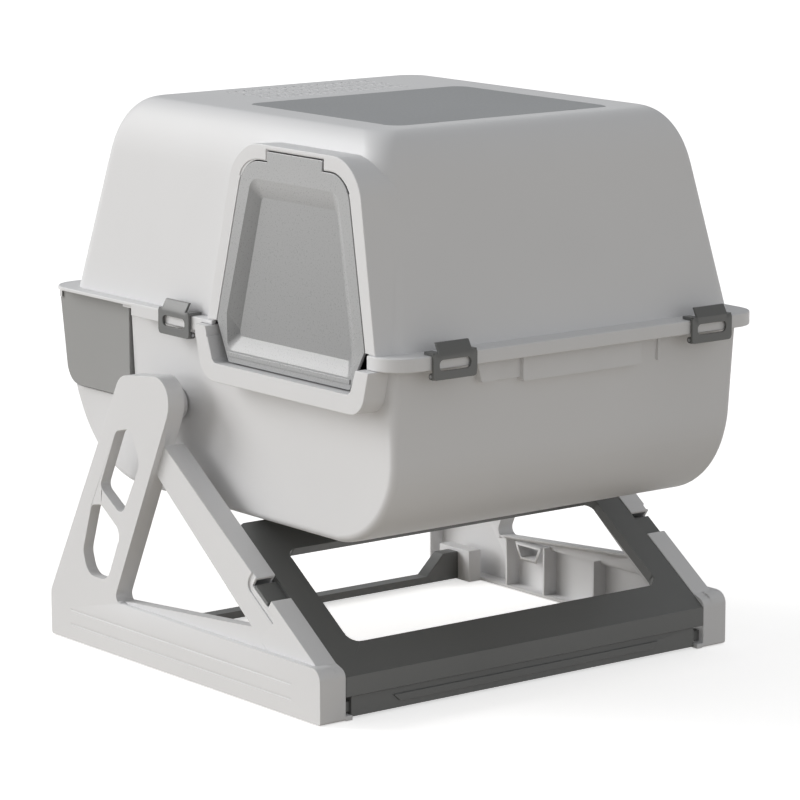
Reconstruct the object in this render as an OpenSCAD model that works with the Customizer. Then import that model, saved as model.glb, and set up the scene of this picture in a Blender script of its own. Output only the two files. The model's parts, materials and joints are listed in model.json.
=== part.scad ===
// Roll-over litter box with a waste drawer: a hooded drum that turns between two A-shaped side panels.
// X runs along the roll axis (the door is at -X), Y to the back (the drawer side), Z up from the floor.

/* [Stand] */
// Overall width across the two side panels
stand_w = 500; // [470:5:560]
// Length of each side panel's base, front to back
base_d = 445; // [420:5:500]
// Height of the base of a side panel
base_h = 51.6; // [44:1:60]
// Depth of a side panel's leg, from its outer face to its open inner side
leg_depth = 19; // [17:0.5:24]
// Step from the outer face of the leg in to the face of the brace
brace_step = 7; // [4:0.5:9]
// Distance from the outer face to the inner side of the brace and the front foot
brace_depth = 29.8; // [27:0.2:34]
// Wall of the side panels
panel_wall = 3; // [2.4:0.2:4]
// Height of the rubber pads' faces below the panels
pad_proud = 0.8; // [0.4:0.1:1.4]

/* [Roll axis] */
// Distance of the roll axis behind the middle of the drum's rim
axis_back = 76.2; // [70:1:82]
// Height of the roll axis above the floor
axis_h = 254; // [250:1:270]
// Radius of the hub's spigot
spigot_r = 8; // [6:0.5:9]
// Wall of the bush round the spigot
bush_wall = 4; // [3:0.5:5]
// Depth of the bush in the side panel
bush_len = 12; // [9:0.5:13]
// Radius of the hub's disc on the tub
hub_r = 16; // [15.5:0.5:24]
// Radial running clearance of the spigot in its bush and of every hinge pin
run_gap = 0.05; // [0.02:0.01:0.1]

/* [Front frame] */
// Length of the frame along its slope
frame_len = 201; // [190:1:204]
// Thickness of the frame
frame_t = 10; // [8:0.5:12]
// Wall of the frame's hollow back
frame_wall = 3; // [2:0.5:4]
// Width of each side member of the frame
frame_side = 30; // [24:1:36]
// Width of the frame's lower bar, along the slope
frame_low = 37.8; // [32:1:44]
// Width of the frame's upper bar, along the slope
frame_high = 41.5; // [36:0.5:50]
// Height of the frame's lower edge above the floor
frame_z = 42; // [40:1:48]
// Height of the tub's belly above the frame's upper edge
rest_gap = 2.2; // [1.6:0.1:4]
// Height of the apron that hangs from the frame's lower bar
apron_h = 19; // [14:1:19]

/* [Drum] */
// Length of the hood's rim, front to back
rim_d = 559; // [540:1:575]
// Height of the rim's top above the roll axis
rim_up = 91.5; // [88:0.5:96]
// Gap between the rim and each side panel's inner side
side_gap = 8; // [6:0.5:10]
// Corner radius of the rim, seen from above
rim_r = 30; // [20:1:40]
// Thickness of the rim's ledge
rim_t = 3.5; // [3:0.25:5]
// Height of the tall skirt round the rim
skirt_h = 13; // [11:0.5:14]
// Wall of the hood and of the tub
wall = 3; // [2.4:0.2:4]
// Seat gap between pieces that rest on each other
seat = 0.2; // [0.1:0.05:0.4]

/* [Hood] */
// Height of the hood above its rim
hood_h = 191.5; // [180:1:205]
// Ledge left outside the hood at the two ends
end_ledge = 13; // [11:0.5:15]
// Ledge left outside the hood at the front and back
long_ledge = 24.1; // [20:0.5:28]
// Radius of the hood's upright corners
hood_r = 22; // [14:1:28]
// Height of the hood's shoulder below its top, also the rounding's height
shoulder_h = 82; // [70:1:92]
// Distance the ends lean in between the rim and the shoulder
end_lean = 14.5; // [10:0.5:18]
// Distance the front and back lean in between the rim and the shoulder
long_lean = 31.9; // [26:0.5:36]
// Rounding of the top edge across the ends
round_x = 32.5; // [28:0.5:40]
// Rounding of the top edge across the front and back
round_y = 43.9; // [38:0.5:52]

/* [Skylight] */
// Width of the skylight pane
pane_w = 262; // [200:2:280]
// Length of the skylight pane
pane_d = 230; // [180:2:240]
// Middle of the pane, in front of the middle of the rim
pane_fore = 48.8; // [44:1:54]
// Thickness of the pane
pane_t = 3; // [2.5:0.25:4]
// Corner radius of the pane
pane_r = 15; // [8:1:20]
// Width of the ledge under the pane
pane_ledge = 7; // [5:0.5:9]

/* [Door] */
// Distance of the door's middle in front of the middle of the rim
door_fore = 121.75; // [116:1:126]
// Height of the door frame's top above the rim
door_h = 172.5; // [166:0.5:176]
// Width of the door frame at the rim
door_w = 258; // [246:2:264]
// Corner radius of the door frame's top
door_r = 45; // [38:1:50]
// Width of the door frame's border
door_border = 13; // [10:0.5:16]
// Distance that the door frame stands out from the hood's rim line
door_out = 10.9; // [9:0.2:12]
// Backward tilt of the door frame
door_tilt = 2.5; // [0:0.5:4]
// Gap round the flap
flap_gap = 1; // [0.8:0.1:2]
// Thickness of the flap
flap_t = 3; // [2.5:0.25:3.5]
// Depth of the flap's dished middle
dish = 7; // [5:0.5:9]
// Half width of the flap's hinge tab
tab_half = 42; // [34:1:46]
// Radius of the flap's hinge pin
flap_pin_r = 1.5; // [1.25:0.25:2]

/* [Tub] */
// Depth of the tub below the rim's top
tub_depth = 186; // [182:1:188]
// Radius of the tub's lower front
front_r = 92; // [80:1:100]
// Radius of the tub's lower back
back_r = 120; // [110:1:122]
// Distance of the tub's ends inside the rim's ends
tub_inset = 16; // [15:0.5:18]
// Height of the door lip's sill below the rim's top
sill_drop = 37; // [34:0.5:42]
// Width of the door lip's lower arm
lip_w = 17; // [14:0.5:20]
// Distance that the door lip stands out past the rim
lip_out = 9; // [7:0.5:11]

/* [Drawer] */
// Width of the drawer
drawer_w = 420; // [400:2:424]
// Depth of the drawer, front to back, at its top
drawer_d = 121.5; // [114:0.5:126]
// Height of the drawer
drawer_h = 94.2; // [88:0.2:96]
// Wall of the drawer
drawer_wall = 2.5; // [2:0.25:3.5]
// Gap between the drawer and the wall in front of it
drawer_gap = 2.5; // [2:0.5:6]

/* [Clips] */
// Width of a clip's plate
clip_w = 50; // [44:1:56]
// Thickness of a clip's plate
clip_t = 2.5; // [2:0.25:3]
// Width of the raised thumb tab
thumb_w = 38; // [30:1:42]
// Height of the thumb tab above the rim's top
thumb_h = 11.5; // [9:0.5:14]
// Reach of the hooks over the rim
hook = 12; // [9:0.5:14]
// Distance of the front clips from the middle
clip_x = 155; // [140:5:165]
// Distance of the end clips behind the middle of the rim
clip_back = 55; // [53:1:60]
// Radius of the clips' hinge pins
clip_pin_r = 1.5; // [1.25:0.25:1.75]

/* [Inside] */
// Height of the sieve above the tub's divider
sieve_h = 110; // [90:5:120]
// Width of the sieve
sieve_w = 380; // [340:5:388]
// Width of the sieve's slots
sieve_slot = 9; // [7:0.5:12]
// Height of the filter tray
tray_h = 20; // [16:1:26]
// Width of the filter tray
tray_w = 240; // [200:5:250]

/* [Hidden] */
$fn = 48;
eps = 0.01;
far = 600;              // longer than any cut has to reach
arc_step = 15;          // turn of each step round an outline's corner
white = "gainsboro";
dark = "dimgray";
grey = "darkgray";

// Lines shared by the stand and the drum
clip_proud = clip_t + 1;
rim_y = clip_proud / 2;
axis_y = rim_y + axis_back;
rim_w = stand_w - 2 * (leg_depth + side_gap);
rim_z = axis_h + rim_up;
rim_front = rim_y - rim_d / 2;
rim_back = rim_y + rim_d / 2;
skirt_z = rim_z - skirt_h;
ledge_z = rim_z - rim_t;
belly_z = rim_z - tub_depth;
top_z = rim_z + hood_h;
outer_x = stand_w / 2;
leg_x = outer_x - leg_depth;
brace_x = outer_x - brace_depth;

// Base of the stand: its back end stands behind the middle
base_back = base_d / 2 + 18.5;
base_front = base_back - base_d;
panel_z = pad_proud;

// Line of the tilted frame's upper face, from its lower front corner up to the tub's belly
frame_y = base_front + 1;
frame_x = brace_x - seat;
frame_slope = asin((belly_z - rest_gap - frame_z) / frame_len);

// Drum
tub_x = rim_w / 2 - tub_inset;
tub_front = rim_front + 22;
tub_back = rim_back - 13.1;
drawer_back = rim_back - 4.25;
drawer_y = drawer_back - drawer_d;
drawer_z = ledge_z - 0.8 - drawer_h;
notch_y = drawer_y - drawer_gap;
notch_z = drawer_z - 2;
tub_flange_z = ledge_z - seat - wall;
hood_x = rim_w / 2 - end_ledge;
hood_y = rim_d / 2 - long_ledge;
shoulder_z = top_z - shoulder_h;
door_y = rim_y - door_fore;
pane_y = rim_y - pane_fore;
flat_back = rim_y + hood_y - long_lean - round_y;   // back edge of the hood's flat top

// Flap: its hinge axis lies just behind the door frame's face
flap_top = door_h - door_border - 3;
pin_up = flap_top + 4;
pin_in = flap_t + 0.4;
flap_low = -sill_drop + flap_gap + 0.5;
flap_half = door_w / 2 - door_border - 3;           // half widths at the rim, the sill and the top
flap_low_half = flap_half - 20;
flap_top_half = flap_half - 34.5;
flap_r = 30;
flap_relief = 1;                    // step in the opening's top edge that lets the flap swing

// Clips: hinge axis under the edge of the rim
clip_out = 1;                       // gap between the clip's plate and the skirt
clip_axis_z = skirt_z - 6;
barrel_r = clip_pin_r + 1.6;
clip_axis_in = barrel_r - clip_out + 0.3;
ear_t = 5;

// Point on an outline's corner: p between a and b, rounded to radius p.z
function unit(v) = v / norm(v);
function flat(p) = [p.x, p.y];
function turn(d) = d > 180 ? d - 360 : d < -180 ? d + 360 : d;
function corner(a, p, b) =
    let(q = flat(p), u = unit(flat(a) - q), v = unit(flat(b) - q), half = acos(u * v) / 2)
    p.z <= 0 || half > 89 ? [q] :
    let(c = q + unit(u + v) * p.z / sin(half), s = q + u * p.z / tan(half) - c,
        e = q + v * p.z / tan(half) - c, a0 = atan2(s.y, s.x), d = turn(atan2(e.y, e.x) - a0),
        n = max(2, ceil(abs(d) / arc_step)))
    [for (i = [0:n]) c + p.z * [cos(a0 + d * i / n), sin(a0 + d * i / n)]];
function rounded(p) = let(n = len(p))
    [for (i = [0:n - 1]) each corner(p[(i + n - 1) % n], p[i], p[(i + 1) % n])];

// Extrudes an outline drawn in (Y, Z) from x0 to x1
module slab(x0, x1) {
    translate([x0, 0, 0]) rotate([90, 0, 90]) linear_extrude(x1 - x0) children();
}
module box(lo, hi) {
    translate(lo) cube(hi - lo);
}
module rod_x(x0, x1, y, z, r) {
    translate([x0, y, z]) rotate([0, 90, 0]) cylinder(r = r, h = x1 - x0);
}
module rod_y(y0, y1, x, z, r) {
    translate([x, y0, z]) rotate([-90, 0, 0]) cylinder(r = r, h = y1 - y0);
}
module round_rect(w, d, r) {
    polygon(rounded([[-w / 2, -d / 2, r], [w / 2, -d / 2, r], [w / 2, d / 2, r], [-w / 2, d / 2, r]]));
}

// ---------------------------------------------------------------- side panels

// Leg and base, drawn in (Y, Z)
module leg_outline() {
    polygon(rounded([
        [base_back, panel_z, 3], [base_back, 46, 14], [axis_y + 37, axis_h + 26, 20],
        [axis_y - 45.5, axis_h + 36, 22], [axis_y - 45, axis_h + 1.6, 25],
        [axis_y + 52, base_h + 1.6, 8], [base_front, base_h + 1.6, 12], [base_front, panel_z, 3]]));
}
module upper_slot() {
    polygon(rounded([
        [axis_y + 44, axis_h - 30, 9], [axis_y + 20, axis_h - 24, 10], [axis_y + 4, axis_h - 56, 16],
        [axis_y + 36, axis_h - 112, 9], [axis_y + 73, axis_h - 89, 7]]));
}
module lower_slot() {
    polygon(rounded([
        [axis_y + 88, axis_h - 110, 7], [axis_y + 72, axis_h - 107, 8], [axis_y + 38, axis_h - 129, 13],
        [axis_y + 62, axis_h - 181, 16], [axis_y + 96, axis_h - 181, 16],
        [axis_y + 104, axis_h - 158, 16]]));
}

// Brace from the leg down to the front foot, and the sloping web on top of the base
function brace_top(y) = frame_z + (y - frame_y) * tan(frame_slope) + 1;
module brace_outline() {
    polygon(rounded([
        [axis_y - 28, brace_top(axis_y - 28), 0], [base_front + 4, brace_top(base_front + 4), 6],
        [base_front + 4, base_h - 22, 0], [base_front + 60, base_h - 22, 0],
        [axis_y - 168, base_h + 19, 4], [axis_y - 34, axis_h - 80, 0], [axis_y - 10, axis_h - 60, 0]]));
}
module web_outline() {
    polygon([
        [axis_y + 56, base_h - 14], [axis_y + 50, base_h + 3], [axis_y - 168, base_h + 19.4],
        [axis_y - 210, base_h - 14]]);
}
module foot_outline() {
    polygon(rounded([
        [base_front, panel_z, 3], [base_front, base_h - 4, 9], [base_front + 14, base_h + 1, 6],
        [base_front + 44, base_h + 1, 0], [base_front + 44, panel_z, 0]]));
}

// Row of ribs inside the base and the place of the stand's screws
rib_y = [axis_y + 34, axis_y - 26, axis_y - 104];
screw_s = [20, 178];                // along the frame's slope
function on_frame(s, n) = [frame_y + s * cos(frame_slope) - n * sin(frame_slope),
    frame_z + s * sin(frame_slope) + n * cos(frame_slope)];
screw_r = 2;
head_r = 3.4;
screw_n = -frame_wall - head_r - seat;
boss_r = 4.6;

// Rear bar's place, its raised ends and the block that holds each
bar_y = [base_back - 69, base_back - 53];
bar_z = [2, 9.4];
bar_end_z = 31;
bar_end_x = leg_x - 16.2;
bar_tenon = 10;

// Notch in the brace for the frame's tab
tab_s = [104, 128];
notch_s = [102, 131];
notch_n = 8;
tab_t = 3.6;

module along_frame() {
    translate([0, frame_y, frame_z]) rotate([frame_slope, 0, 0]) children();
}

module panel_outer() {
    slab(-outer_x, -leg_x) leg_outline();
    slab(-outer_x + brace_step, -brace_x) brace_outline();
    slab(-outer_x + brace_step, -leg_x) web_outline();
    slab(-outer_x, -brace_x) foot_outline();
    rear_socket_block();
    toe();
}
// Flare of the foot's bottom under the front rail
module toe() {
    box([-brace_x - eps, base_front, panel_z], [-brace_x + 8, base_front + 12, panel_z + 4.5]);
}
// Groove that follows the notch's edge on the brace's outer face
module notch_groove() {
    along_frame() slab(-far, -outer_x + brace_step + 1.6) polygon(rounded([
        [notch_s[0] - 14, -notch_n - 2, 0], [notch_s[1] + 2, -notch_n - 2, 3],
        [notch_s[1] + 2, 5, 0], [notch_s[1] + 8, 5, 0], [notch_s[1] + 8, -notch_n - 8, 9],
        [notch_s[0] - 14, -notch_n - 8, 0]]));
}
// Two fine lines along the base's outer face
module base_lines() {
    for (z = line_z)
        box([-outer_x - 1, base_front + 45, z - 0.7], [-outer_x + 0.8, base_back - 36, z + 0.7]);
}
line_z = [17, 31.7];
module rear_socket_block() {
    box([-leg_x - 8, bar_y[0] - 18, panel_z], [-bar_end_x - seat, bar_y[1] + 16, bar_end_z + 3]);
}
slot_wall = 12;                     // how far the walls round the leg's openings reach in
module panel_hollow() {
    w = panel_wall;
    slab(-outer_x + w, far) difference() {
        offset(delta = -w) leg_outline();
        offset(delta = w) upper_slot();
        offset(delta = w) lower_slot();
        translate([axis_y, axis_h]) circle(spigot_r + bush_wall + 5);
    }
    slab(-outer_x + slot_wall, far) {
        offset(delta = w + eps) upper_slot();
        offset(delta = w + eps) lower_slot();
    }
    slab(-outer_x + brace_step + w, far) offset(delta = -w) brace_outline();
    slab(-outer_x + brace_step + w, far) offset(delta = -w) web_outline();
    slab(-outer_x + w, far) offset(delta = -w) foot_outline();
}
module ribs() {
    for (y = rib_y)
        box([-outer_x + panel_wall - eps, y - 1.2, panel_z + 1], [-leg_x, y + 1.2, base_h + 2]);
    for (s = [36, 96, 152]) along_frame()
        box([-outer_x + brace_step + 1, s - 1.2, -24], [-brace_x + 1, s + 1.2, -frame_t]);
    slab(-outer_x + panel_wall - eps, -leg_x) difference() {
        collar_outline();
        offset(delta = -3) collar_outline();
    }
}
// Collar inside the base, beside the middle rib
module collar_outline() {
    polygon([[axis_y - 22, base_h + 1], [axis_y + 20, base_h + 1], [axis_y + 12, base_h - 17],
        [axis_y - 14, base_h - 17]]);
}
module screw_bosses(r) {
    for (s = screw_s) let(p = on_frame(s, screw_n))
        rod_x(-outer_x + brace_step + 1, -brace_x, p[0], p[1], r);
}
// The strip of the brace beside the frame, kept solid behind the frame's sides
module side_panel() {
    difference() {
        union() {
            difference() {
                panel_outer();
                intersection() {
                    panel_hollow();
                    panel_hollow_limit();
                }
            }
            ribs();
            screw_bosses(boss_r);
        }
        slab(-far, far) upper_slot();
        slab(-far, far) lower_slot();
        along_frame()
            box([-far, notch_s[0], -notch_n], [-brace_x + 1, notch_s[1], 40]);
        rod_x(-leg_x - bush_len, -leg_x + 1, axis_y, axis_h, spigot_r + bush_wall);
        for (s = screw_s) let(p = on_frame(s, screw_n))
            rod_x(-outer_x + brace_step + 4, -brace_x + 1, p[0], p[1], screw_r + run_gap);
        rear_socket();
        rail_socket();
        pad_pockets();
        notch_groove();
        base_lines();
    }
}
// The hollow opens at the leg's inner side; the foot and brace keep their inner wall
module panel_hollow_limit() {
    slab(-far, -leg_x + eps) square([4 * far, 4 * far], center = true);
    slab(-far, -brace_x - panel_wall) brace_side();
}
module brace_side() {
    polygon([[-far, -far], [base_front + 44, -far], [base_front + 44, base_h - 10],
        [axis_y, axis_h - 40], [axis_y, far], [-far, far]]);
}
module rear_socket() {
    box([-bar_end_x - bar_tenon - seat, bar_y[0] + 3 - seat, 8 - seat],
        [-bar_end_x + 1, bar_y[1] - 3 + seat, bar_end_z - 7 + seat]);
}

// Pads and the sockets of the front rail
pad_y = [base_front + 26, base_back - 30];
pad_l = 30;
pad_w = 12;
pad_deep = 1.2;
rail_y = [base_front + 4, base_front + 18];
rail_z = [2.6, frame_z - apron_h - 1.2];
rail_x = brace_x - 9;
tenon_y = [rail_y[0] + 3, rail_y[1] - 2];
tenon_z = [7, 17];
module rail_socket() {
    box([-brace_x - bar_tenon + 1, tenon_y[0] - seat, tenon_z[0] - seat],
        [-brace_x + 1, tenon_y[1] + seat, tenon_z[1] + seat]);
}
module pad_pockets() {
    for (y = pad_y)
        box([-outer_x + 3, y - pad_l / 2 - 0.2, -1],
            [-outer_x + 3.4 + pad_w, y + pad_l / 2 + 0.2, panel_z + pad_deep]);
}

module door_side_panel() {
    color(white) side_panel();
}
module far_side_panel() {
    color(white) mirror([1, 0, 0]) side_panel();
}

// ---------------------------------------------------------------- front frame, rail, rear bar

frame_open = [frame_low, frame_len - frame_high];
module frame_outline() {
    polygon(rounded([[-frame_x, 0, 3], [frame_x, 0, 3], [frame_x, frame_len, 6],
        [-frame_x, frame_len, 6]]));
}
module frame_window(grow) {
    x = frame_x - frame_side + grow;
    polygon(rounded([[-x, frame_open[0] - grow, 14], [x, frame_open[0] - grow, 14],
        [x, frame_open[1] + grow, 10], [-x, frame_open[1] + grow, 10]]));
}
module front_frame() {
    color(dark) difference() {
        union() {
            along_frame() {
                translate([0, 0, -frame_t]) linear_extrude(frame_t) difference() {
                    frame_outline();
                    frame_window(0);
                }
                for (m = [-1, 1])
                    box([m > 0 ? frame_x - eps : -outer_x + brace_step, tab_s[0], -notch_n + seat],
                        [m > 0 ? outer_x - brace_step : -frame_x + eps, tab_s[1],
                            -notch_n + seat + tab_t]);
            }
            box([-frame_x, frame_y - 1, frame_z - apron_h], [frame_x, frame_y + 2, frame_z]);
        }
        along_frame() translate([0, 0, -frame_t - 1])
            linear_extrude(frame_t + 1 - frame_wall) difference() {
                offset(delta = -frame_wall) frame_outline();
                frame_window(frame_wall);
            }
        for (s = screw_s) let(p = on_frame(s, screw_n))
            rod_x(-far, far, p[0], p[1], screw_r + run_gap);
    }
}
// Lower front rail, tenoned into both feet, with a raised strip along its face
strip_in = 48;
module front_rail() {
    strip = rail_x - strip_in;
    mid = (rail_z[0] + rail_z[1]) / 2;
    color(dark) {
        box([-rail_x, rail_y[0], rail_z[0]], [rail_x, rail_y[1], rail_z[1]]);
        box([-brace_x - bar_tenon + 3, tenon_y[0], tenon_z[0]],
            [brace_x + bar_tenon - 3, tenon_y[1], tenon_z[1]]);
        translate([0, rail_y[0] + eps, 0]) rotate([90, 0, 0]) linear_extrude(2)
            polygon([[-strip, mid + 4], [-strip + 8, mid - 3], [strip - 8, mid - 3], [strip, mid + 4]]);
    }
}
bar_head = 20;                      // length of the raised end and of the end with its ramp
bar_ramp = 42;
module rear_bar_outline() {
    polygon([[-bar_end_x, bar_z[0]], [bar_end_x, bar_z[0]], [bar_end_x, bar_end_z],
        [bar_end_x - bar_head, bar_end_z], [bar_end_x - bar_ramp, bar_z[1]],
        [-bar_end_x + bar_ramp, bar_z[1]], [-bar_end_x + bar_head, bar_end_z],
        [-bar_end_x, bar_end_z]]);
}
module rear_bar() {
    color(dark) {
        translate([0, bar_y[1], 0]) rotate([90, 0, 0]) linear_extrude(bar_y[1] - bar_y[0])
            rear_bar_outline();
        for (m = [-1, 1])
            box([m > 0 ? bar_end_x - eps : -bar_end_x - bar_tenon, bar_y[0] + 3, 8],
                [m > 0 ? bar_end_x + bar_tenon : -bar_end_x + eps, bar_y[1] - 3, bar_end_z - 7]);
    }
}
// Screws from inside the frame's hollow back into the braces
module frame_screw(s) {
    p = on_frame(s, screw_n);
    x = frame_x - frame_wall;
    rod_x(x - 2.2, x - seat, p[0], p[1], head_r);
    rod_x(x - seat - eps, outer_x - brace_step - 5, p[0], p[1], screw_r);
}
module frame_screws() {
    color("silver") for (s = screw_s) {
        frame_screw(s);
        mirror([1, 0, 0]) frame_screw(s);
    }
}
module rubber_pads() {
    color("black") for (m = [0, 1], y = pad_y) mirror([m, 0, 0])
        box([outer_x - 3.2 - pad_w, y - pad_l / 2, 0],
            [outer_x - 3.2, y + pad_l / 2, panel_z + pad_deep - eps]);
}
// Two soft pads on the frame's upper bar, under the tub's belly
rest_x = 120;
rest_deep = 12;
module rest_pads() {
    top = belly_z - 0.3;
    p = on_frame(frame_len - 9, 0);
    color("black") for (m = [-1, 1]) intersection() {
        box([m * rest_x - 15, p[0] - 8, p[1] - rest_deep], [m * rest_x + 15, p[0] + 6, top]);
        along_frame() translate([0, 0, far]) cube([2 * far, 2 * far, 2 * far - 0.04], center = true);
    }
}

// ---------------------------------------------------------------- bushes and hubs

hub_face = leg_x - 1.5;
bush_flange = 1.2;
module bush() {
    difference() {
        union() {
            rod_x(-leg_x - bush_len + seat, -leg_x + bush_flange, axis_y, axis_h,
                spigot_r + bush_wall - run_gap);
            rod_x(-leg_x + seat / 4, -leg_x + bush_flange, axis_y, axis_h, spigot_r + bush_wall + 3);
        }
        rod_x(-far, 0, axis_y, axis_h, spigot_r + run_gap);
    }
}
module door_side_bush() {
    color("lightgray") bush();
}
module far_side_bush() {
    color("lightgray") mirror([1, 0, 0]) bush();
}
hub_screw_r = 1.5;
hub_head_r = 2.7;
hub_screw_at = hub_r - 4;
module hub_screw_places() {
    for (a = [90, 210, 330])
        translate([0, axis_y + hub_screw_at * cos(a), axis_h + hub_screw_at * sin(a)])
            rotate([0, 90, 0]) children();
}
module hub() {
    difference() {
        union() {
            rod_x(-hub_face, -tub_x - seat / 4, axis_y, axis_h, hub_r);
            rod_x(-leg_x - bush_len + 1, -hub_face + 1, axis_y, axis_h, spigot_r);
        }
        hub_screw_places() translate([0, 0, -far]) cylinder(r = hub_screw_r + run_gap, h = far);
        hub_screw_places() translate([0, 0, -hub_face - 1]) cylinder(r = hub_head_r + seat, h = 4.4);
    }
}
module door_side_hub() {
    color(white) hub();
}
module far_side_hub() {
    color(white) mirror([1, 0, 0]) hub();
}
module hub_screws() {
    color("silver") for (m = [0, 1]) mirror([m, 0, 0]) hub_screw_places() {
        translate([0, 0, -hub_face + 0.6]) cylinder(r = hub_head_r, h = 2.6);
        translate([0, 0, -hub_face + 3]) cylinder(r = hub_screw_r, h = hub_face - tub_x + 2);
    }
}

// ---------------------------------------------------------------- tub

// Profile of the tub in (Y, Z), shrunk by w for the inside
module tub_profile(w, top) {
    f = tub_front;
    b = tub_back - back_r;
    difference() {
        intersection() {
            translate([-far, 0]) square([2 * far, top]);
            tub_body(f, b, w, top);
        }
        translate([notch_y - w, notch_z - w]) square(far);
    }
}
module tub_body(f, b, w, top) {
    translate([f + front_r, belly_z + front_r]) circle(front_r - w, $fn = 96);
    translate([b, belly_z + back_r]) circle(back_r - w, $fn = 96);
    polygon([[f + front_r, belly_z + w], [b, belly_z + w], [b, top], [f + front_r, top]]);
    polygon([[f + w, belly_z + front_r], [f + front_r + 1, belly_z + front_r],
        [f + front_r + 1, top], [f + w - 3.4, top]]);
}
// Door lip drawn in (Y, Z): a U round the lower part of the flap
lip_top = skirt_z - 0.4;
sill_z = rim_z - sill_drop;
lip_r = 22;
lip_half = flap_half + 6;
lip_low_half = flap_low_half + 12;
module lip_outer() {
    translate([door_y, 0]) {
        polygon(rounded([[-lip_low_half - lip_w, sill_z - lip_w - 1, lip_r],
            [lip_low_half + lip_w, sill_z - lip_w - 1, lip_r], [lip_half + lip_w - 3, lip_top, 0],
            [-lip_half - lip_w + 3, lip_top, 0]]));
        translate([lip_half - 4, lip_top - 1]) square([lip_w + 1, ledge_z - seat - lip_top]);
    }
}
module lip_opening() {
    translate([door_y, 0]) polygon(rounded([[-lip_low_half, sill_z, 7], [lip_low_half, sill_z, 7],
        [lip_half, rim_z + 1, 0], [-lip_half, rim_z + 1, 0]]));
}
module tub_flange() {
    translate([0, 0, tub_flange_z]) linear_extrude(wall) intersection() {
        translate([0, rim_y]) round_rect(rim_w - 2 * wall - 1.2, rim_d - 2 * wall - 1.2,
            rim_r - wall);
        translate([-far, -far]) square([2 * far, far + notch_y]);
    }
}
// Finger grip under the front rim, between the two clips: a tapered block, a long panel, a thin rib
grip_out = 11;
grip_low = rim_z - 37;
clip_side = clip_x - clip_w / 2;
block_x = [-clip_side + 10, -clip_side + 38];
panel_x = [-clip_side + 66, clip_side - 50];
rib_x = [clip_side - 25, clip_side - 22];
module front_grip() {
    top = tub_flange_z + 1;
    box([panel_x[0], tub_front - grip_out, grip_low], [panel_x[1], tub_front, top]);
    box([block_x[1] - 1, tub_front - grip_out * 0.6, grip_low + 3], [panel_x[0] + 1, tub_front, top]);
    translate([0, tub_front, 0]) rotate([90, 0, 0]) linear_extrude(grip_out)
        polygon([[block_x[0], top], [block_x[0] + 7, grip_low + 4], [block_x[1], grip_low + 4],
            [block_x[1], top]]);
    box([rib_x[0], tub_front - grip_out / 2, grip_low], [rib_x[1], tub_front, top]);
}
// Two ears for each clip's pin, reaching out under the rim from the tub's wall
ear_at = [-15, 15];
module ears_for(reach) {
    for (x = ear_at) {
        slab(x - ear_t / 2, x + ear_t / 2) polygon([
            [clip_axis_in, clip_axis_z - barrel_r], [reach, clip_axis_z - barrel_r],
            [reach, tub_flange_z + 1], [wall + 0.6, tub_flange_z + 1], [wall + 0.6, skirt_z - 0.4],
            [clip_axis_in, skirt_z - 0.4]]);
        rod_x(x - ear_t / 2, x + ear_t / 2, clip_axis_in, clip_axis_z, barrel_r);
    }
}
module ear_bores() {
    rod_x(-clip_w / 2 - 1, clip_w / 2 + 1, clip_axis_in, clip_axis_z, clip_pin_r + run_gap);
}
// Places something at each clip, with the rim's edge on Y = 0 and the inside at +Y
module at_front(x) {
    translate([x, rim_front, 0]) children();
}
module at_end(m) {
    translate([m * rim_w / 2, rim_y + clip_back, 0]) rotate([0, 0, m * 90]) children();
}
runner_x = 150;
module tub() {
    color(white) difference() {
        union() {
            difference() {
                union() {
                    slab(-tub_x, tub_x) tub_profile(0, tub_flange_z + wall);
                    slab(-rim_w / 2 - lip_out, -tub_x + 1) lip_outer();
                }
                slab(-tub_x + wall, tub_x - wall) tub_profile(wall, far);
                slab(-rim_w / 2 - lip_out + wall, -tub_x + wall + eps) difference() {
                    offset(delta = -wall) lip_outer();
                    offset(delta = wall) lip_opening();
                }
            }
            difference() {
                tub_flange();
                slab(-tub_x + wall, tub_x - wall) tub_profile(wall, far);
                slab(-far, -tub_x + wall + eps) offset(delta = wall) lip_opening();
            }
            front_grip();
            for (x = [-clip_x, clip_x]) at_front(x) ears_for(24);
            for (m = [-1, 1]) at_end(m) ears_for(tub_inset + 1);
            for (x = [-runner_x, runner_x])
                box([x - 3, notch_y + 8, notch_z - eps], [x + 3, notch_y + 104, notch_z + 1.7]);
        }
        slab(-far, -tub_x + wall + eps) lip_opening();
        for (x = [-clip_x, clip_x]) at_front(x) ear_bores();
        for (m = [-1, 1]) at_end(m) ear_bores();
        for (m = [0, 1]) mirror([m, 0, 0]) hub_screw_places()
            translate([0, 0, -tub_x - 1]) cylinder(r = hub_screw_r + run_gap, h = wall + 2);
        sieve_screw_places() translate([0, 0, -14]) cylinder(r = 1.5 + run_gap, h = 20);
    }
}

// ---------------------------------------------------------------- hood

// Solid of the hood: leaning walls up to the shoulder, then a rounding in steps up to the flat top
round_steps = 9;
module hood_level(x, y, z, r) {
    translate([0, rim_y, z]) linear_extrude(0.01) round_rect(2 * x, 2 * y, r);
}
module hood_solid(w, low) {
    top_x = hood_x - end_lean - round_x;
    top_y = hood_y - long_lean - round_y;
    hull() {
        hood_level(hood_x - w, hood_y - w, low, hood_r - w);
        for (i = [0:round_steps]) let(a = 90 * i / round_steps)
            hood_level(top_x + (round_x - w) * cos(a), top_y + (round_y - w) * cos(a),
                shoulder_z + (shoulder_h - w) * sin(a) - 0.01, hood_r - w);
    }
}
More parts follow.
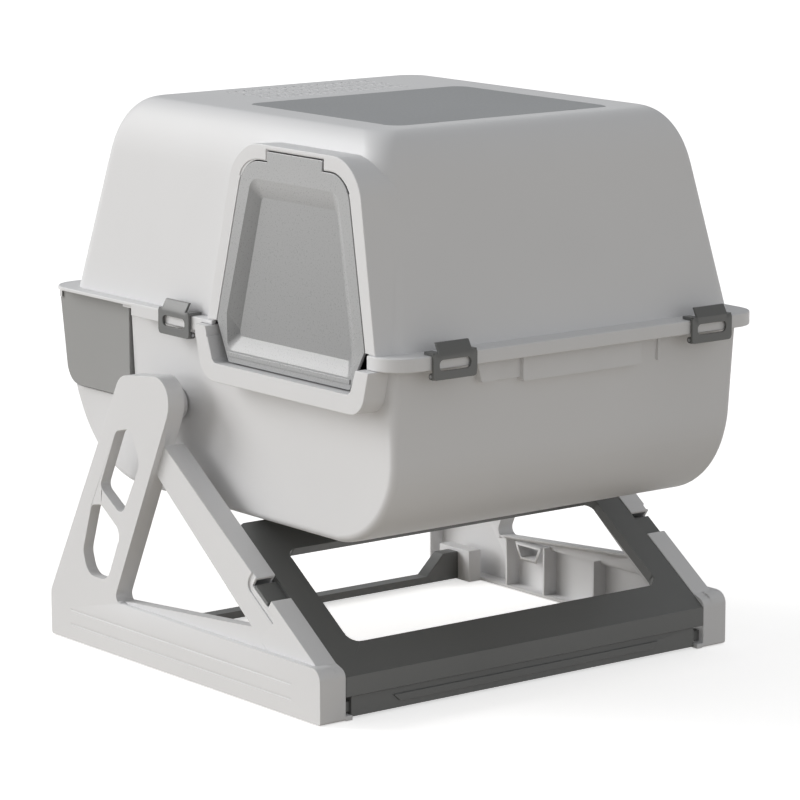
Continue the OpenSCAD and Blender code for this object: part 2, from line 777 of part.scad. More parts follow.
// Door frame and flap outlines, drawn in (Y, Z) from the door's middle at the rim's top
module frame_shape(grow) {
    wide = door_w / 2 + grow;
    top = flap_top_half + door_border + 2 + grow;
    polygon(rounded([[-wide, 0, 0], [wide, 0, 0], [top, door_h + grow, door_r + grow],
        [-top, door_h + grow, door_r + grow]]));
}
module flap_shape(grow) {
    wide = flap_half + grow;
    low = flap_low_half + grow;
    top = flap_top_half + grow;
    polygon(rounded([[-low, flap_low - grow, 0], [low, flap_low - grow, 0], [wide, 2, 0],
        [top, flap_top + grow, flap_r + grow], [-top, flap_top + grow, flap_r + grow],
        [-wide, 2, 0]]));
    translate([-tab_half - grow, flap_top - 10]) square([2 * (tab_half + grow), 20 + grow]);
}
// Frame of the tilted door face: local X goes in from the face, Y and Z as the outlines
module at_door() {
    translate([-hood_x - door_out, door_y, rim_z]) rotate([0, door_tilt, 0]) children();
}
// Rows of slots between the pane and the back edge of the flat top
vent_y = pane_y + pane_d / 2 + 22;
vent_slot = 3.2;
vent_l = 20;
vent_pitch = 27;
vent_rows = floor((flat_back - vent_y - vent_l) / vent_pitch) + 1;
vent_half = pane_w / 2 - 36;
module vents() {
    for (row = [0:vent_rows - 1], x = [-vent_half:10:vent_half]) let(y = vent_y + row * vent_pitch)
        box([x - vent_slot / 2, y, top_z - 8], [x + vent_slot / 2, y + vent_l, top_z + 1]);
}
module rim_plate(grow) {
    translate([0, rim_y]) round_rect(rim_w + 2 * grow, rim_d + 2 * grow, rim_r + grow);
}
// The tall skirt is cut back over the drawer, except along the back edge, and over the flap
module skirt() {
    translate([0, 0, skirt_z]) linear_extrude(skirt_h - rim_t + eps) difference() {
        rim_plate(0);
        rim_plate(-wall);
        translate([-far, notch_y - 20]) square([2 * far, rim_back - 3.5 - notch_y + 20]);
        translate([-drawer_w / 2 - 2, notch_y + 3]) square([drawer_w + 4, far]);
        translate([-far, door_y - 118]) square([far, 236 + 18]);
    }
}
module hood_outer() {
    hood_solid(0, rim_z - 1);
    at_door() slab(0, 44) frame_shape(0);
    translate([0, 0, ledge_z]) linear_extrude(rim_t) rim_plate(0);
    skirt();
}
module hood() {
    color(white) difference() {
        union() {
            difference() {
                hood_outer();
                hood_solid(wall, ledge_z - 2);
                at_door() slab(flap_t, 60) intersection() {
                    frame_shape(-wall);
                    translate([-200, -20]) square([400, 400]);
                }
            }
            pane_seat();
            flap_ears();
        }
        translate([0, pane_y, top_z - pane_t - seat]) linear_extrude(far)
            round_rect(pane_w + 1, pane_d + 1, pane_r + 0.5);
        translate([0, pane_y, top_z - 20]) linear_extrude(far)
            round_rect(pane_w - 2 * pane_ledge, pane_d - 2 * pane_ledge, pane_r - 4);
        at_door() slab(-10, flap_t + 0.5) flap_shape(flap_gap);
        at_door() slab(-10, flap_relief) intersection() {
            flap_shape(flap_gap + flap_relief);
            translate([-far, flap_top - 16]) square([2 * far, far]);
        }
        at_door() slab(-10, 16) translate([-lip_half, -60]) square([2 * lip_half, 61]);
        at_door() rod_y(-tab_half - 12, tab_half + 12, pin_in, pin_up, flap_pin_r + run_gap);
        vents();
    }
}
// Ledge that carries the pane, inside the hood's top
module pane_seat() {
    translate([0, pane_y, top_z - pane_t - 3]) linear_extrude(pane_t + 2) difference() {
        round_rect(pane_w + 8, pane_d + 8, pane_r + 4);
        round_rect(pane_w - 2 * pane_ledge, pane_d - 2 * pane_ledge, pane_r - 4);
    }
}
// Ears behind the door frame's face that hold the flap's pin
module flap_ears() {
    at_door() for (m = [-1, 1]) {
        y = m * (tab_half + flap_gap + 3);
        rod_y(y - 2.5, y + 2.5, pin_in, pin_up, flap_pin_r + 1.6);
        box([flap_t - 1, y - 2.5, pin_up], [pin_in + 2.6, y + 2.5, pin_up + 7]);
    }
}
module skylight() {
    color("slategray") {
        translate([0, pane_y, top_z - pane_t]) linear_extrude(pane_t)
            round_rect(pane_w, pane_d, pane_r);
        for (x = [-60, 60], m = [-1, 1]) translate([x, pane_y + m * (pane_d / 2 - pane_ledge - 2), 0])
            box([-7, -1, top_z - pane_t - 5], [7, 1, top_z - pane_t + eps]);
    }
}

// ---------------------------------------------------------------- flap

// Outline of the dish: the panel's at 1, the bevel's outer edge at 0
module dish_outline(inner) {
    low = flap_low_half + 2;
    wide = flap_half - 15;
    high = flap_top_half - 12.5;
    if (inner == 0) polygon(rounded([[-low, flap_low + 11.5, 8], [low, flap_low + 11.5, 8],
        [wide, 10, 0], [high, flap_top - 16.5, 12], [-high, flap_top - 16.5, 12], [-wide, 10, 0]]));
    else polygon(rounded([[-low + 8.5, flap_low + 25, 5], [low - 8.5, flap_low + 25, 5],
        [high - 9, flap_top - 34, 5], [-high + 9, flap_top - 34, 5]]));
}
module dish_solid(x0, x1, grow) {
    hull() {
        slab(x0, x0 + 0.1) offset(delta = grow) dish_outline(0);
        slab(x1 - 0.1, x1) offset(delta = grow) dish_outline(1);
    }
}
module door_flap() {
    color(grey) at_door() difference() {
        union() {
            slab(0, flap_t) flap_shape(0);
            dish_solid(flap_t - 0.1, dish + 2.4, 2.2);
            slab(-1.2, 0.1) translate([-flap_low_half - 1, flap_low + 5.5])
                square([2 * flap_low_half + 2, 4.5]);
            rod_y(-tab_half, tab_half, pin_in, pin_up, flap_pin_r + 1.9);
        }
        dish_solid(-0.1, dish, 0);
        rod_y(-far, far, pin_in, pin_up, flap_pin_r + run_gap);
    }
}
module flap_pin() {
    color("silver") at_door()
        rod_y(-tab_half - 6.5, tab_half + 6.5, pin_in, pin_up, flap_pin_r);
}

// ---------------------------------------------------------------- clips

// A clip at the rim's edge: plate outside the skirt, two hooks over the rim, knuckles round the pin
module clip(reach) {
    y0 = -clip_out - clip_t;
    y1 = -clip_out;
    low = clip_axis_z - barrel_r;
    high = rim_z + 3;
    slot_z = [skirt_z - 0.9, skirt_z + 9.1];
    slot_half = 18;
    slot_r = 4.4;
    difference() {
        union() {
            translate([0, y1, 0]) rotate([90, 0, 0]) linear_extrude(clip_t)
                polygon(rounded([[-clip_w / 2, low, 3.5], [clip_w / 2, low, 3.5],
                    [clip_w / 2, high, 3.5], [-clip_w / 2, high, 3.5]]));
            thumb_tab(y0, y1);
            for (m = [-1, 1]) let(x = m * (clip_w + thumb_w - 6) / 4)
                box([x - (clip_w - thumb_w + 6) / 4, y0 + 1, rim_z + 0.3],
                    [x + (clip_w - thumb_w + 6) / 4, reach, high]);
            knuckles();
        }
        translate([0, y1 + 1, 0]) rotate([90, 0, 0]) linear_extrude(clip_t + 2) polygon(rounded(
            [for (c = [[-1, 0], [1, 0], [1, 1], [-1, 1]]) [c.x * slot_half, slot_z[c.y], slot_r]]));
        ear_bores();
    }
}
module thumb_tab(y0, y1) {
    top = rim_z + thumb_h;
    lean = 5;
    slab(-thumb_w / 2, thumb_w / 2) polygon([[y0, rim_z - 6], [y1, rim_z - 6], [y1, rim_z + 2],
        [y1 + lean, top], [y0 + lean, top], [y0, rim_z + 3]]);
}
module knuckles() {
    gap = ear_t / 2 + 0.3;
    for (x = [[-clip_w / 2 + 1, ear_at[0] - gap], [ear_at[0] + gap, ear_at[1] - gap],
        [ear_at[1] + gap, clip_w / 2 - 1]]) {
        rod_x(x[0], x[1], clip_axis_in, clip_axis_z, barrel_r);
        box([x[0], -clip_out - eps, clip_axis_z - barrel_r], [x[1], clip_axis_in, clip_axis_z]);
    }
}
module front_clip_left() {
    color(dark) at_front(-clip_x) clip(hook - clip_out);
}
module front_clip_right() {
    color(dark) at_front(clip_x) clip(hook - clip_out);
}
module door_end_clip() {
    color(dark) at_end(-1) clip(min(hook, end_ledge - 0.8));
}
module far_end_clip() {
    color(dark) at_end(1) clip(min(hook, end_ledge - 0.8));
}
module clip_pins() {
    color("silver") {
        for (x = [-clip_x, clip_x]) at_front(x) clip_pin();
        for (m = [-1, 1]) at_end(m) clip_pin();
    }
}
module clip_pin() {
    rod_x(-clip_w / 2 + 1, clip_w / 2 - 1, clip_axis_in, clip_axis_z, clip_pin_r);
}

// ---------------------------------------------------------------- drawer

module drawer_profile(w, top) {
    back = drawer_back;
    polygon(rounded([[drawer_y + w, top, 0], [drawer_y + w, drawer_z + w, 6],
        [back - 14.5 - w, drawer_z + w, 20 - w], [back - w, drawer_z + drawer_h, 0],
        [back - w, top + 0.1, 0]]));
}
grip_w = 100;
grip_z = [drawer_z + 40, drawer_z + 62];
module drawer() {
    top = drawer_z + drawer_h;
    back = drawer_back;
    color(grey) difference() {
        union() {
            difference() {
                slab(-drawer_w / 2, drawer_w / 2) drawer_profile(0, top);
                slab(-drawer_w / 2 + drawer_wall, drawer_w / 2 - drawer_wall)
                    drawer_profile(drawer_wall, top + 5);
            }
            intersection() {
                box([-grip_w / 2 - drawer_wall, back - 24, grip_z[0] - drawer_wall],
                    [grip_w / 2 + drawer_wall, back + 4, grip_z[1] + drawer_wall]);
                slab(-drawer_w / 2, drawer_w / 2) drawer_profile(0, top);
            }
        }
        box([-grip_w / 2, back - 24 + drawer_wall, grip_z[0]], [grip_w / 2, back + 10, grip_z[1]]);
    }
}

// ---------------------------------------------------------------- inside

// The sieve stands on the tub's divider and leans forward into the hood
sieve_lean = 30;
sieve_t = 3;
sieve_foot = 14;
sieve_y = notch_y - sieve_foot;
module at_sieve() {
    translate([0, sieve_y, tub_flange_z + wall + seat]) rotate([sieve_lean, 0, 0]) children();
}
module sieve_screw_places() {
    for (x = [-1, 0, 1] * (sieve_w / 2 - 50))
        translate([x, sieve_y + sieve_foot / 2 + 0.5, tub_flange_z + wall + seat]) children();
}
module sieve() {
    rows = 3;
    pitch_z = (sieve_h - 16) / rows;
    pitch_x = 2 * sieve_slot;
    count = floor((sieve_w - 24) / pitch_x);
    color(white) difference() {
        union() {
            at_sieve() box([-sieve_w / 2, 0, 0], [sieve_w / 2, sieve_t, sieve_h]);
            translate([0, 0, tub_flange_z + wall + seat]) linear_extrude(3)
                translate([-sieve_w / 2, sieve_y]) square([sieve_w, sieve_foot]);
        }
        at_sieve() for (i = [0:count - 1], j = [0:rows - 1])
            translate([(i - (count - 1) / 2) * pitch_x, 0, 12 + j * pitch_z])
                box([-sieve_slot / 2, -1, 0], [sieve_slot / 2, sieve_t + 1, pitch_z - 6]);
        sieve_screw_places() translate([0, 0, -1]) cylinder(r = 1.5 + run_gap, h = 10);
    }
}
module sieve_screws() {
    color("silver") sieve_screw_places() {
        translate([0, 0, 3]) cylinder(r = 3, h = 1.8);
        translate([0, 0, -5]) cylinder(r = 1.5, h = 8.1);
    }
}
// Tray under the vents and the charcoal pad in it
tray_y = [vent_y - 6, flat_back];
tray_z = top_z - wall - seat - tray_h;
module filter_tray() {
    color(white) difference() {
        box([-tray_w / 2, tray_y[0], tray_z], [tray_w / 2, tray_y[1], tray_z + tray_h]);
        box([-tray_w / 2 + 2, tray_y[0] + 2, tray_z + 2], [tray_w / 2 - 2, tray_y[1] - 2, far]);
        for (x = [-tray_w / 2 + 16:16:tray_w / 2 - 16])
            box([x - 5, tray_y[0] + 10, tray_z - 1], [x + 5, tray_y[1] - 10, tray_z + 3]);
    }
}
module charcoal_filter() {
    color("black") box([-tray_w / 2 + 3, tray_y[0] + 3, tray_z + 2 + seat],
        [tray_w / 2 - 3, tray_y[1] - 3, tray_z + tray_h - 4]);
}

door_side_panel();
far_side_panel();
front_frame();
front_rail();
rear_bar();
frame_screws();
rubber_pads();
rest_pads();
door_side_bush();
far_side_bush();
door_side_hub();
far_side_hub();
hub_screws();
tub();
hood();
skylight();
door_flap();
flap_pin();
front_clip_left();
front_clip_right();
door_end_clip();
far_end_clip();
clip_pins();
drawer();
sieve();
sieve_screws();
filter_tray();
charcoal_filter();
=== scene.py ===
"""Looks for a roll-over litter box: smooth shells, softened edges and moulded-plastic finishes."""

import json
from math import acos, atan2, cos, hypot, pi, radians, sin, tan

import bmesh
import bpy
from mathutils import Matrix, Vector
from mathutils.bvhtree import BVHTree
from mathutils.kdtree import KDTree


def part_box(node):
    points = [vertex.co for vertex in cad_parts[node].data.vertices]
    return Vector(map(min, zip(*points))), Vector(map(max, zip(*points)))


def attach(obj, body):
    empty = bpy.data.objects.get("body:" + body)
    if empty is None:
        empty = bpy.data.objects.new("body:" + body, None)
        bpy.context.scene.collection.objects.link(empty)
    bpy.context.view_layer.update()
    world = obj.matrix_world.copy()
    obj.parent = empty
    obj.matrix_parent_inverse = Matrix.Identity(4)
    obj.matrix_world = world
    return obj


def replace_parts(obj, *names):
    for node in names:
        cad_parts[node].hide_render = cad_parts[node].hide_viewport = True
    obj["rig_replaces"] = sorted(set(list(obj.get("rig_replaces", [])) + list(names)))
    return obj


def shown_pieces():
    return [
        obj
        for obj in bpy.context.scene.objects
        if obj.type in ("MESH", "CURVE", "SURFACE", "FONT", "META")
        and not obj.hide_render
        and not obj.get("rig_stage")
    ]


bl_info = {
    "name": "Roll-over litter box",
    "version": (1, 0, 0),
    "blender": (4, 5, 0),
    "location": "View3D > Sidebar > Litter Box",
    "description": "Builds the shells, edges and finishes of a roll-over litter box",
    "category": "Object",
}

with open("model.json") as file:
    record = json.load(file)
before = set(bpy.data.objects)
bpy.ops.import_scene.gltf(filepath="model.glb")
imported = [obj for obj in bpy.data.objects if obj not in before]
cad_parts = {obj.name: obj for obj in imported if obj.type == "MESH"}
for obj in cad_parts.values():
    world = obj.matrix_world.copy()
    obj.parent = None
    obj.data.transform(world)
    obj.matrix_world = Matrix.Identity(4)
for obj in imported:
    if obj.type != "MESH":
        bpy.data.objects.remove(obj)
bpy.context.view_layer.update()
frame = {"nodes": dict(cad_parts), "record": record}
NODES = frame["nodes"]
BODY_OF = {
    node: body for body, nodes in frame["record"]["behaviour"]["bodies"].items() for node in nodes
}
SLOT_OF = {part["node"]: part["material_slot"] for part in frame["record"]["subparts"]}

MM = 0.001
FAR = 1.0  # Out of reach of everything
WELD = 0.004 * MM  # Points closer than this are one point
EDGE_ANGLE = radians(32)  # Edges that turn more than this are sharp
HOOD_LOW, HOOD_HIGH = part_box("hood")
TUB_LOW, TUB_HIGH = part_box("tub")
PANE_LOW, PANE_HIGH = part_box("skylight")
DRAWER_LOW, DRAWER_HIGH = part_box("drawer")
PANEL_LOW, PANEL_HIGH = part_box("door_side_panel")

# Turns a flat outline drawn in (u, v) so that u is Y, v is Z and its thickness runs along X
SIDEWAYS = Matrix(((0, 0, 1, 0), (1, 0, 0, 0), (0, 1, 0, 0), (0, 0, 0, 1)))
# The same with u as X and v as Z; the thickness runs along -Y
FRONTWAYS = Matrix(((1, 0, 0, 0), (0, 0, -1, 0), (0, 1, 0, 0), (0, 0, 0, 1)))


def size(name, description, default, **more):
    """A length that a user can change."""
    return bpy.props.FloatProperty(
        name=name, description=description, default=default, unit="LENGTH", precision=4, **more
    )


def colour(name, description, default):
    """A colour that a user can change, written as an sRGB hex value."""
    return bpy.props.StringProperty(name=name, description=description, default=default)


# ---------------------------------------------------------------- settings


class HoodSizes(bpy.types.PropertyGroup):
    """Sizes of the hood, its rim, its door frame and its vents."""

    skirt: size("Skirt", "Height of the skirt round the rim", 13 * MM)
    ledge: size("Ledge", "Thickness of the rim", 3.5 * MM)
    wall: size("Wall", "Thickness of the hood", 3 * MM)
    rim_corner: size("Rim corner", "Corner radius of the rim", 30 * MM)
    end_ledge: size("End ledge", "Rim left outside the hood at its ends", 13 * MM)
    long_ledge: size("Long ledge", "Rim left outside the hood at its front and back", 24.1 * MM)
    upright: size("Upright corner", "Radius of the hood's corners, seen from above", 22 * MM)
    shoulder: size("Shoulder", "Height of the rounding of the top edge", 82 * MM)
    round_x: size("Round, ends", "Reach of the rounding across the ends", 32.5 * MM)
    round_y: size("Round, front", "Reach of the rounding across the front", 43.9 * MM)
    lean_x: size("Lean, ends", "How far the ends lean in", 14.5 * MM)
    lean_y: size("Lean, front", "How far the front and back lean in", 31.9 * MM)
    pane_gap: size("Pane gap", "Gap round the skylight pane", 0.5 * MM)
    vent_slot: size("Vent slot", "Width of a vent slot", 3.2 * MM)
    vent_length: size("Vent length", "Length of a vent slot", 20 * MM)


class DoorSizes(bpy.types.PropertyGroup):
    """Sizes of the door frame, of the flap's opening and of the tub's lip round it."""

    middle: size("Middle", "Place of the door along the box", -120 * MM)
    out: size("Out", "How far the door frame stands out from the hood", 10.9 * MM)
    height: size("Height", "Height of the door frame above the rim", 172.5 * MM)
    half: size("Half width", "Half width of the door frame at the rim", 129 * MM)
    top_half: size("Top half width", "Half width of the door frame at its top", 93.5 * MM)
    corner: size("Corner", "Corner radius of the door frame's top", 45 * MM)
    border: size("Border", "Width of the door frame's face", 13 * MM)
    gap: size("Gap", "Gap round the flap", 1 * MM)
    sill: size("Sill", "Depth of the tub's sill below the rim", 37 * MM)
    relief: size("Relief", "Step round the top of the flap's opening", 1 * MM)
    lip: size("Lip", "Width of the tub's lip", 17 * MM)
    lip_corner: size("Lip corner", "Radius of the lip's lower corners", 22 * MM)
    tilt: bpy.props.FloatProperty(
        name="Tilt", description="Backward tilt of the door", default=radians(2.5), subtype="ANGLE"
    )


class TubSizes(bpy.types.PropertyGroup):
    """Sizes of the tub."""

    front_round: size("Front round", "Radius of the tub's lower front", 92 * MM)
    back_round: size("Back round", "Radius of the tub's lower back", 120 * MM)
    end_half: size("End", "Half length of the tub low down", 204 * MM)
    draft_from: size("Draft from", "Height from which the ends spread", 224 * MM)
    edge_round: size("Edge round", "Rounding between the ends and the curved belly", 8 * MM)
    wall: size("Wall", "Thickness of the tub", 3 * MM)
    front_in: size("Front in", "Tub's front wall inside the rim's edge", 22 * MM)
    back_in: size("Back in", "Tub's back inside the rim's edge", 13.1 * MM)
    drawer_gap: size("Drawer gap", "Gap between the tub and the drawer's front", 2.5 * MM)
    draft: bpy.props.FloatProperty(
        name="Draft", description="Spread of the ends towards the rim", default=radians(2.6),
        subtype="ANGLE",
    )


class Finishes(bpy.types.PropertyGroup):
    """Colours of the plastics, the rubber, the foam and the stage."""

    white: colour("White", "Hood, tub, side panels and hubs", "#E1E1E2")
    dark: colour("Dark grey", "Frame, rails and clips", "#6A6B6A")
    grey: colour("Grey", "Waste drawer", "#9C9C9B")
    flap: colour("Flap", "Swing flap", "#BBBCBD")
    pane: colour("Pane", "Skylight", "#A9ABAD")
    acetal: colour("Acetal", "Bushes", "#DAD9D4")
    rubber: colour("Rubber", "Pads", "#242424")
    foam: colour("Foam", "Charcoal filter", "#1E1F20")
    steel: colour("Steel", "Pins and screws", "#B9BABC")
    floor: colour("Floor", "Studio floor", "#F1F0EF")


# ---------------------------------------------------------------- materials


def linear(hex_colour):
    """An sRGB hex value as linear red, green, blue and alpha."""
    parts = [int(hex_colour[i:i + 2], 16) / 255 for i in (1, 3, 5)]
    return [p / 12.92 if p <= 0.04045 else ((p + 0.055) / 1.055) ** 2.4 for p in parts] + [1.0]


def add(tree, kind, links=(), **settings):
    """Adds a node, sets its options and sockets, and links its inputs: (socket, node, output)."""
    made = tree.nodes.new(kind)
    for key, value in settings.items():
        if hasattr(made, key):
            setattr(made, key, value)
        else:
            made.inputs[key.replace("_", " ")].default_value = value
    for socket, source, output in links:
        tree.links.new(source.outputs[output], made.inputs[socket])
    return made


def start_material(name):
    """An empty material with its output and its object coordinates."""
    material = bpy.data.materials.new(name)
    material.use_nodes = True
    tree = material.node_tree
    tree.nodes.clear()
    output = add(tree, "ShaderNodeOutputMaterial")
    place = add(tree, "ShaderNodeTexCoord")
    return material, tree, output, place


def plastic(name, hex_colour, roughness, grain, depth, tint=0.03, **extra):
    """Moulded plastic: a fine matt grain of the given size and a faint drift of colour."""
    material, tree, output, place = start_material(name)
    base = linear(hex_colour)
    drift = add(tree, "ShaderNodeTexNoise", [("Vector", place, "Object")],
                Scale=1 / 0.16, Detail=2.0, Roughness=0.5)
    shade = add(tree, "ShaderNodeMapRange", [("Value", drift, "Fac")],
                From_Min=0.3, From_Max=0.7, To_Min=1 - tint, To_Max=1 + tint)
    tinted = add(tree, "ShaderNodeVectorMath", [(1, shade, "Result")], operation="MULTIPLY")
    tinted.inputs[0].default_value = base[:3]
    fine = add(tree, "ShaderNodeTexNoise", [("Vector", place, "Object")],
               Scale=1 / grain, Detail=3.0, Roughness=0.6)
    rough = add(tree, "ShaderNodeMapRange", [("Value", fine, "Fac")],
                From_Min=0.3, From_Max=0.7, To_Min=roughness - 0.05, To_Max=roughness + 0.05)
    bump = add(tree, "ShaderNodeBump", [("Height", fine, "Fac")], Strength=1.0, Distance=depth)
    shader = add(tree, "ShaderNodeBsdfPrincipled",
                 [("Base Color", tinted, "Vector"), ("Roughness", rough, "Result"),
                  ("Normal", bump, "Normal")], **extra)
    tree.links.new(shader.outputs["BSDF"], output.inputs["Surface"])
    return material


def white_polypropylene(finishes):
    """Polypropylene from a spark-eroded mould: a soft, even, satin-matt white."""
    return plastic("white_moulded_polypropylene", finishes.white, 0.48, 0.9 * MM, 0.012 * MM,
                   0.012, IOR=1.49, Specular_IOR_Level=0.42)


def dark_polypropylene(finishes):
    """The same plastic coloured dark grey: the grain shows more, and edges catch a cool light."""
    return plastic("dark_moulded_polypropylene", finishes.dark, 0.36, 1.1 * MM, 0.012 * MM, 0.05,
                   IOR=1.49, Specular_IOR_Level=0.5)


def grey_polypropylene(finishes):
    """Mid grey moulded polypropylene: flat and even, a little duller than the dark parts."""
    return plastic("grey_moulded_polypropylene", finishes.grey, 0.5, 1.0 * MM, 0.012 * MM, 0.02,
                   IOR=1.49, Specular_IOR_Level=0.4)


def cloudy_plastic(finishes):
    """Cloudy polypropylene for the flap, with painted shade deeper in its dish and on faces turned
    to the front, and darker towards the bottom.
    """
    material = plastic("cloudy_grey_polypropylene", finishes.flap, 0.3, 1.4 * MM, 0.0008 * MM,
                       0.02, IOR=1.49, Transmission_Weight=0.08)
    tree = material.node_tree
    shader = tree.nodes["Principled BSDF"]
    place = tree.nodes["Texture Coordinate"]
    door = bpy.context.scene.litter_door
    turned = door_place(door)
    inwards = turned.col[2].xyz
    # Painted shade: the colour darkens the deeper the surface lies in the flap's dish
    depth = add(tree, "ShaderNodeVectorMath", [(0, place, "Object")], operation="DOT_PRODUCT")
    depth.inputs[1].default_value = inwards
    start = inwards.dot(turned.translation)
    painted_recess_shade = add(tree, "ShaderNodeMapRange", [("Value", depth, "Value")],
               From_Min=start + 2 * MM, From_Max=start + 6.5 * MM, To_Min=1.0, To_Max=0.84)
    # Darker towards the bottom of the flap
    height = add(tree, "ShaderNodeSeparateXYZ", [("Vector", place, "Object")])
    low = add(tree, "ShaderNodeMapRange", [("Value", height, "Z")], From_Min=rim_top(),
              From_Max=rim_top() + 130 * MM, To_Min=0.84, To_Max=1.0)
    shade = add(tree, "ShaderNodeMath", [(0, painted_recess_shade, "Result"), (1, low, "Result")],
                operation="MULTIPLY")
    # Painted shade: faces that turn towards the front, away from the key light, are darkened
    facing = add(tree, "ShaderNodeSeparateXYZ", [("Vector", place, "Normal")])
    bevel = add(tree, "ShaderNodeMapRange", [("Value", facing, "Y")], From_Min=-0.5,
                From_Max=-0.15, To_Min=0.68, To_Max=1.0)
    shade = add(tree, "ShaderNodeMath", [(0, shade, "Value"), (1, bevel, "Result")],
                operation="MULTIPLY")
    tone = add(tree, "ShaderNodeVectorMath", [(1, shade, "Value")], operation="MULTIPLY")
    tree.links.new(shader.inputs["Base Color"].links[0].from_socket, tone.inputs[0])
    tree.links.new(tone.outputs["Vector"], shader.inputs["Base Color"])
    return material


def smoky_plastic(finishes):
    """Smoke-tinted styrene for the skylight, with a soft broad sheen."""
    return plastic("smoke_tinted_styrene", finishes.pane, 0.42, 3.0 * MM, 0.001 * MM, 0.03,
                   IOR=1.57, Transmission_Weight=0.15)


def acetal(finishes):
    """Machined acetal: waxy, off-white and slightly slick."""
    return plastic("machined_acetal", finishes.acetal, 0.3, 0.6 * MM, 0.006 * MM, IOR=1.48)


def rubber(finishes):
    """Moulded soft rubber: near black, with a dull broad sheen."""
    return plastic("moulded_rubber", finishes.rubber, 0.75, 0.8 * MM, 0.03 * MM, IOR=1.52)


def charcoal_foam(finishes):
    """Open-cell foam loaded with charcoal: black, with cells about two millimetres wide."""
    material, tree, output, place = start_material("charcoal_foam")
    cells = add(tree, "ShaderNodeTexVoronoi", [("Vector", place, "Object")], Scale=1 / (2.2 * MM))
    shade = add(tree, "ShaderNodeMapRange", [("Value", cells, "Distance")],
                From_Max=0.6, To_Min=1.6, To_Max=0.4)
    tone = add(tree, "ShaderNodeVectorMath", [(1, shade, "Result")], operation="MULTIPLY")
    tone.inputs[0].default_value = linear(finishes.foam)[:3]
    bump = add(tree, "ShaderNodeBump", [("Height", cells, "Distance")], Distance=0.6 * MM)
    bump.invert = True
    shader = add(tree, "ShaderNodeBsdfPrincipled",
                 [("Base Color", tone, "Vector"), ("Normal", bump, "Normal")], Roughness=0.9)
    tree.links.new(shader.outputs["BSDF"], output.inputs["Surface"])
    return material


def zinc_steel(finishes):
    """Zinc-plated drawn steel: bright, with fine streaks along the wire."""
    material, tree, output, place = start_material("zinc_plated_steel")
    streaks = add(tree, "ShaderNodeTexNoise", [("Vector", place, "Object")],
                  Scale=1 / (0.8 * MM), Detail=4.0)
    rough = add(tree, "ShaderNodeMapRange", [("Value", streaks, "Fac")],
                From_Min=0.3, From_Max=0.7, To_Min=0.24, To_Max=0.42)
    bump = add(tree, "ShaderNodeBump", [("Height", streaks, "Fac")], Distance=0.01 * MM)
    shader = add(tree, "ShaderNodeBsdfPrincipled",
                 [("Roughness", rough, "Result"), ("Normal", bump, "Normal")], Metallic=1.0)
    shader.inputs["Base Color"].default_value = linear(finishes.steel)
    tree.links.new(shader.outputs["BSDF"], output.inputs["Surface"])
    return material


FINISH_OF = {
    "white_pp": white_polypropylene,
    "dark_pp": dark_polypropylene,
    "grey_pp": grey_polypropylene,
    "smoke_flap": cloudy_plastic,
    "smoke_pane": smoky_plastic,
    "steel": zinc_steel,
    "pom": acetal,
    "rubber": rubber,
    "charcoal": charcoal_foam,
}
MADE = {}


def finish_for(slot):
    """The material of a slot of the record, made once."""
    if slot not in MADE:
        MADE[slot] = FINISH_OF[slot](bpy.context.scene.litter_finishes)
    return MADE[slot]


# ---------------------------------------------------------------- shapes


def round_corners(bm, corners, segments):
    """Rounds the corners of bm's one flat face; corners are (u, v, radius) in its own plane."""
    bm.verts.ensure_lookup_table()
    for vert, (_, _, radius) in zip(list(bm.verts), corners):
        if radius <= 0:
            continue
        a, b = [edge.other_vert(vert).co - vert.co for edge in vert.link_edges]
        reach = radius / tan(a.angle(b) / 2)
        bmesh.ops.bevel(bm, geom=[vert], offset=reach, offset_type="ABSOLUTE",
                        segments=segments, profile=0.5, affect="VERTICES", clamp_overlap=False,
                        material=-1)


def slab(corners, start, end, place=Matrix(), segments=8, edge=0.0, edge_segments=3):
    """A flat outline with rounded corners, given thickness from start to end, as a bmesh."""
    bm = bmesh.new()
    bm.faces.new([bm.verts.new((u, v, start)) for u, v, _ in corners])
    round_corners(bm, corners, segments)
    raised = bmesh.ops.extrude_face_region(bm, geom=bm.faces[:])["geom"]
    moved = [v for v in raised if isinstance(v, bmesh.types.BMVert)]
    bmesh.ops.translate(bm, verts=moved, vec=(0, 0, end - start))
    bmesh.ops.recalc_face_normals(bm, faces=bm.faces)
    if edge:
        rims = [e for e in bm.edges if abs(e.verts[0].co.z - e.verts[1].co.z) < 1e-9]
        bmesh.ops.bevel(bm, geom=rims, offset=edge, segments=edge_segments, profile=0.5,
                        affect="EDGES", clamp_overlap=False, material=-1)
    bmesh.ops.transform(bm, matrix=place, verts=bm.verts)
    return bm


def oblong(middle_x, middle_y, width, depth, radius):
    """Corners of a rounded rectangle."""
    x, y = width / 2, depth / 2
    corners = ((-1, -1), (1, -1), (1, 1), (-1, 1))
    return [(middle_x + i * x, middle_y + j * y, radius) for i, j in corners]


def block(low, high, place=Matrix()):
    """A box between two corners, as a bmesh."""
    low, high = Vector(low), Vector(high)
    bm = bmesh.new()
    bmesh.ops.create_cube(bm, size=1)
    bmesh.ops.scale(bm, vec=high - low, verts=bm.verts)
    bmesh.ops.translate(bm, vec=(low + high) / 2, verts=bm.verts)
    bmesh.ops.transform(bm, matrix=place, verts=bm.verts)
    return bm


def gather(parts):
    """Several bmeshes as one."""
    bm = bmesh.new()
    for part in parts:
        mesh = bpy.data.meshes.new("part")
        part.to_mesh(mesh)
        part.free()
        bm.from_mesh(mesh)
        bpy.data.meshes.remove(mesh)
    return bm


def raw_object(bm, name="shape"):
    """An object that holds a bmesh, which is then freed."""
    mesh = bpy.data.meshes.new(name)
    bm.to_mesh(mesh)
    bm.free()
    made = bpy.data.objects.new(name, mesh)
    bpy.context.scene.collection.objects.link(made)
    return made


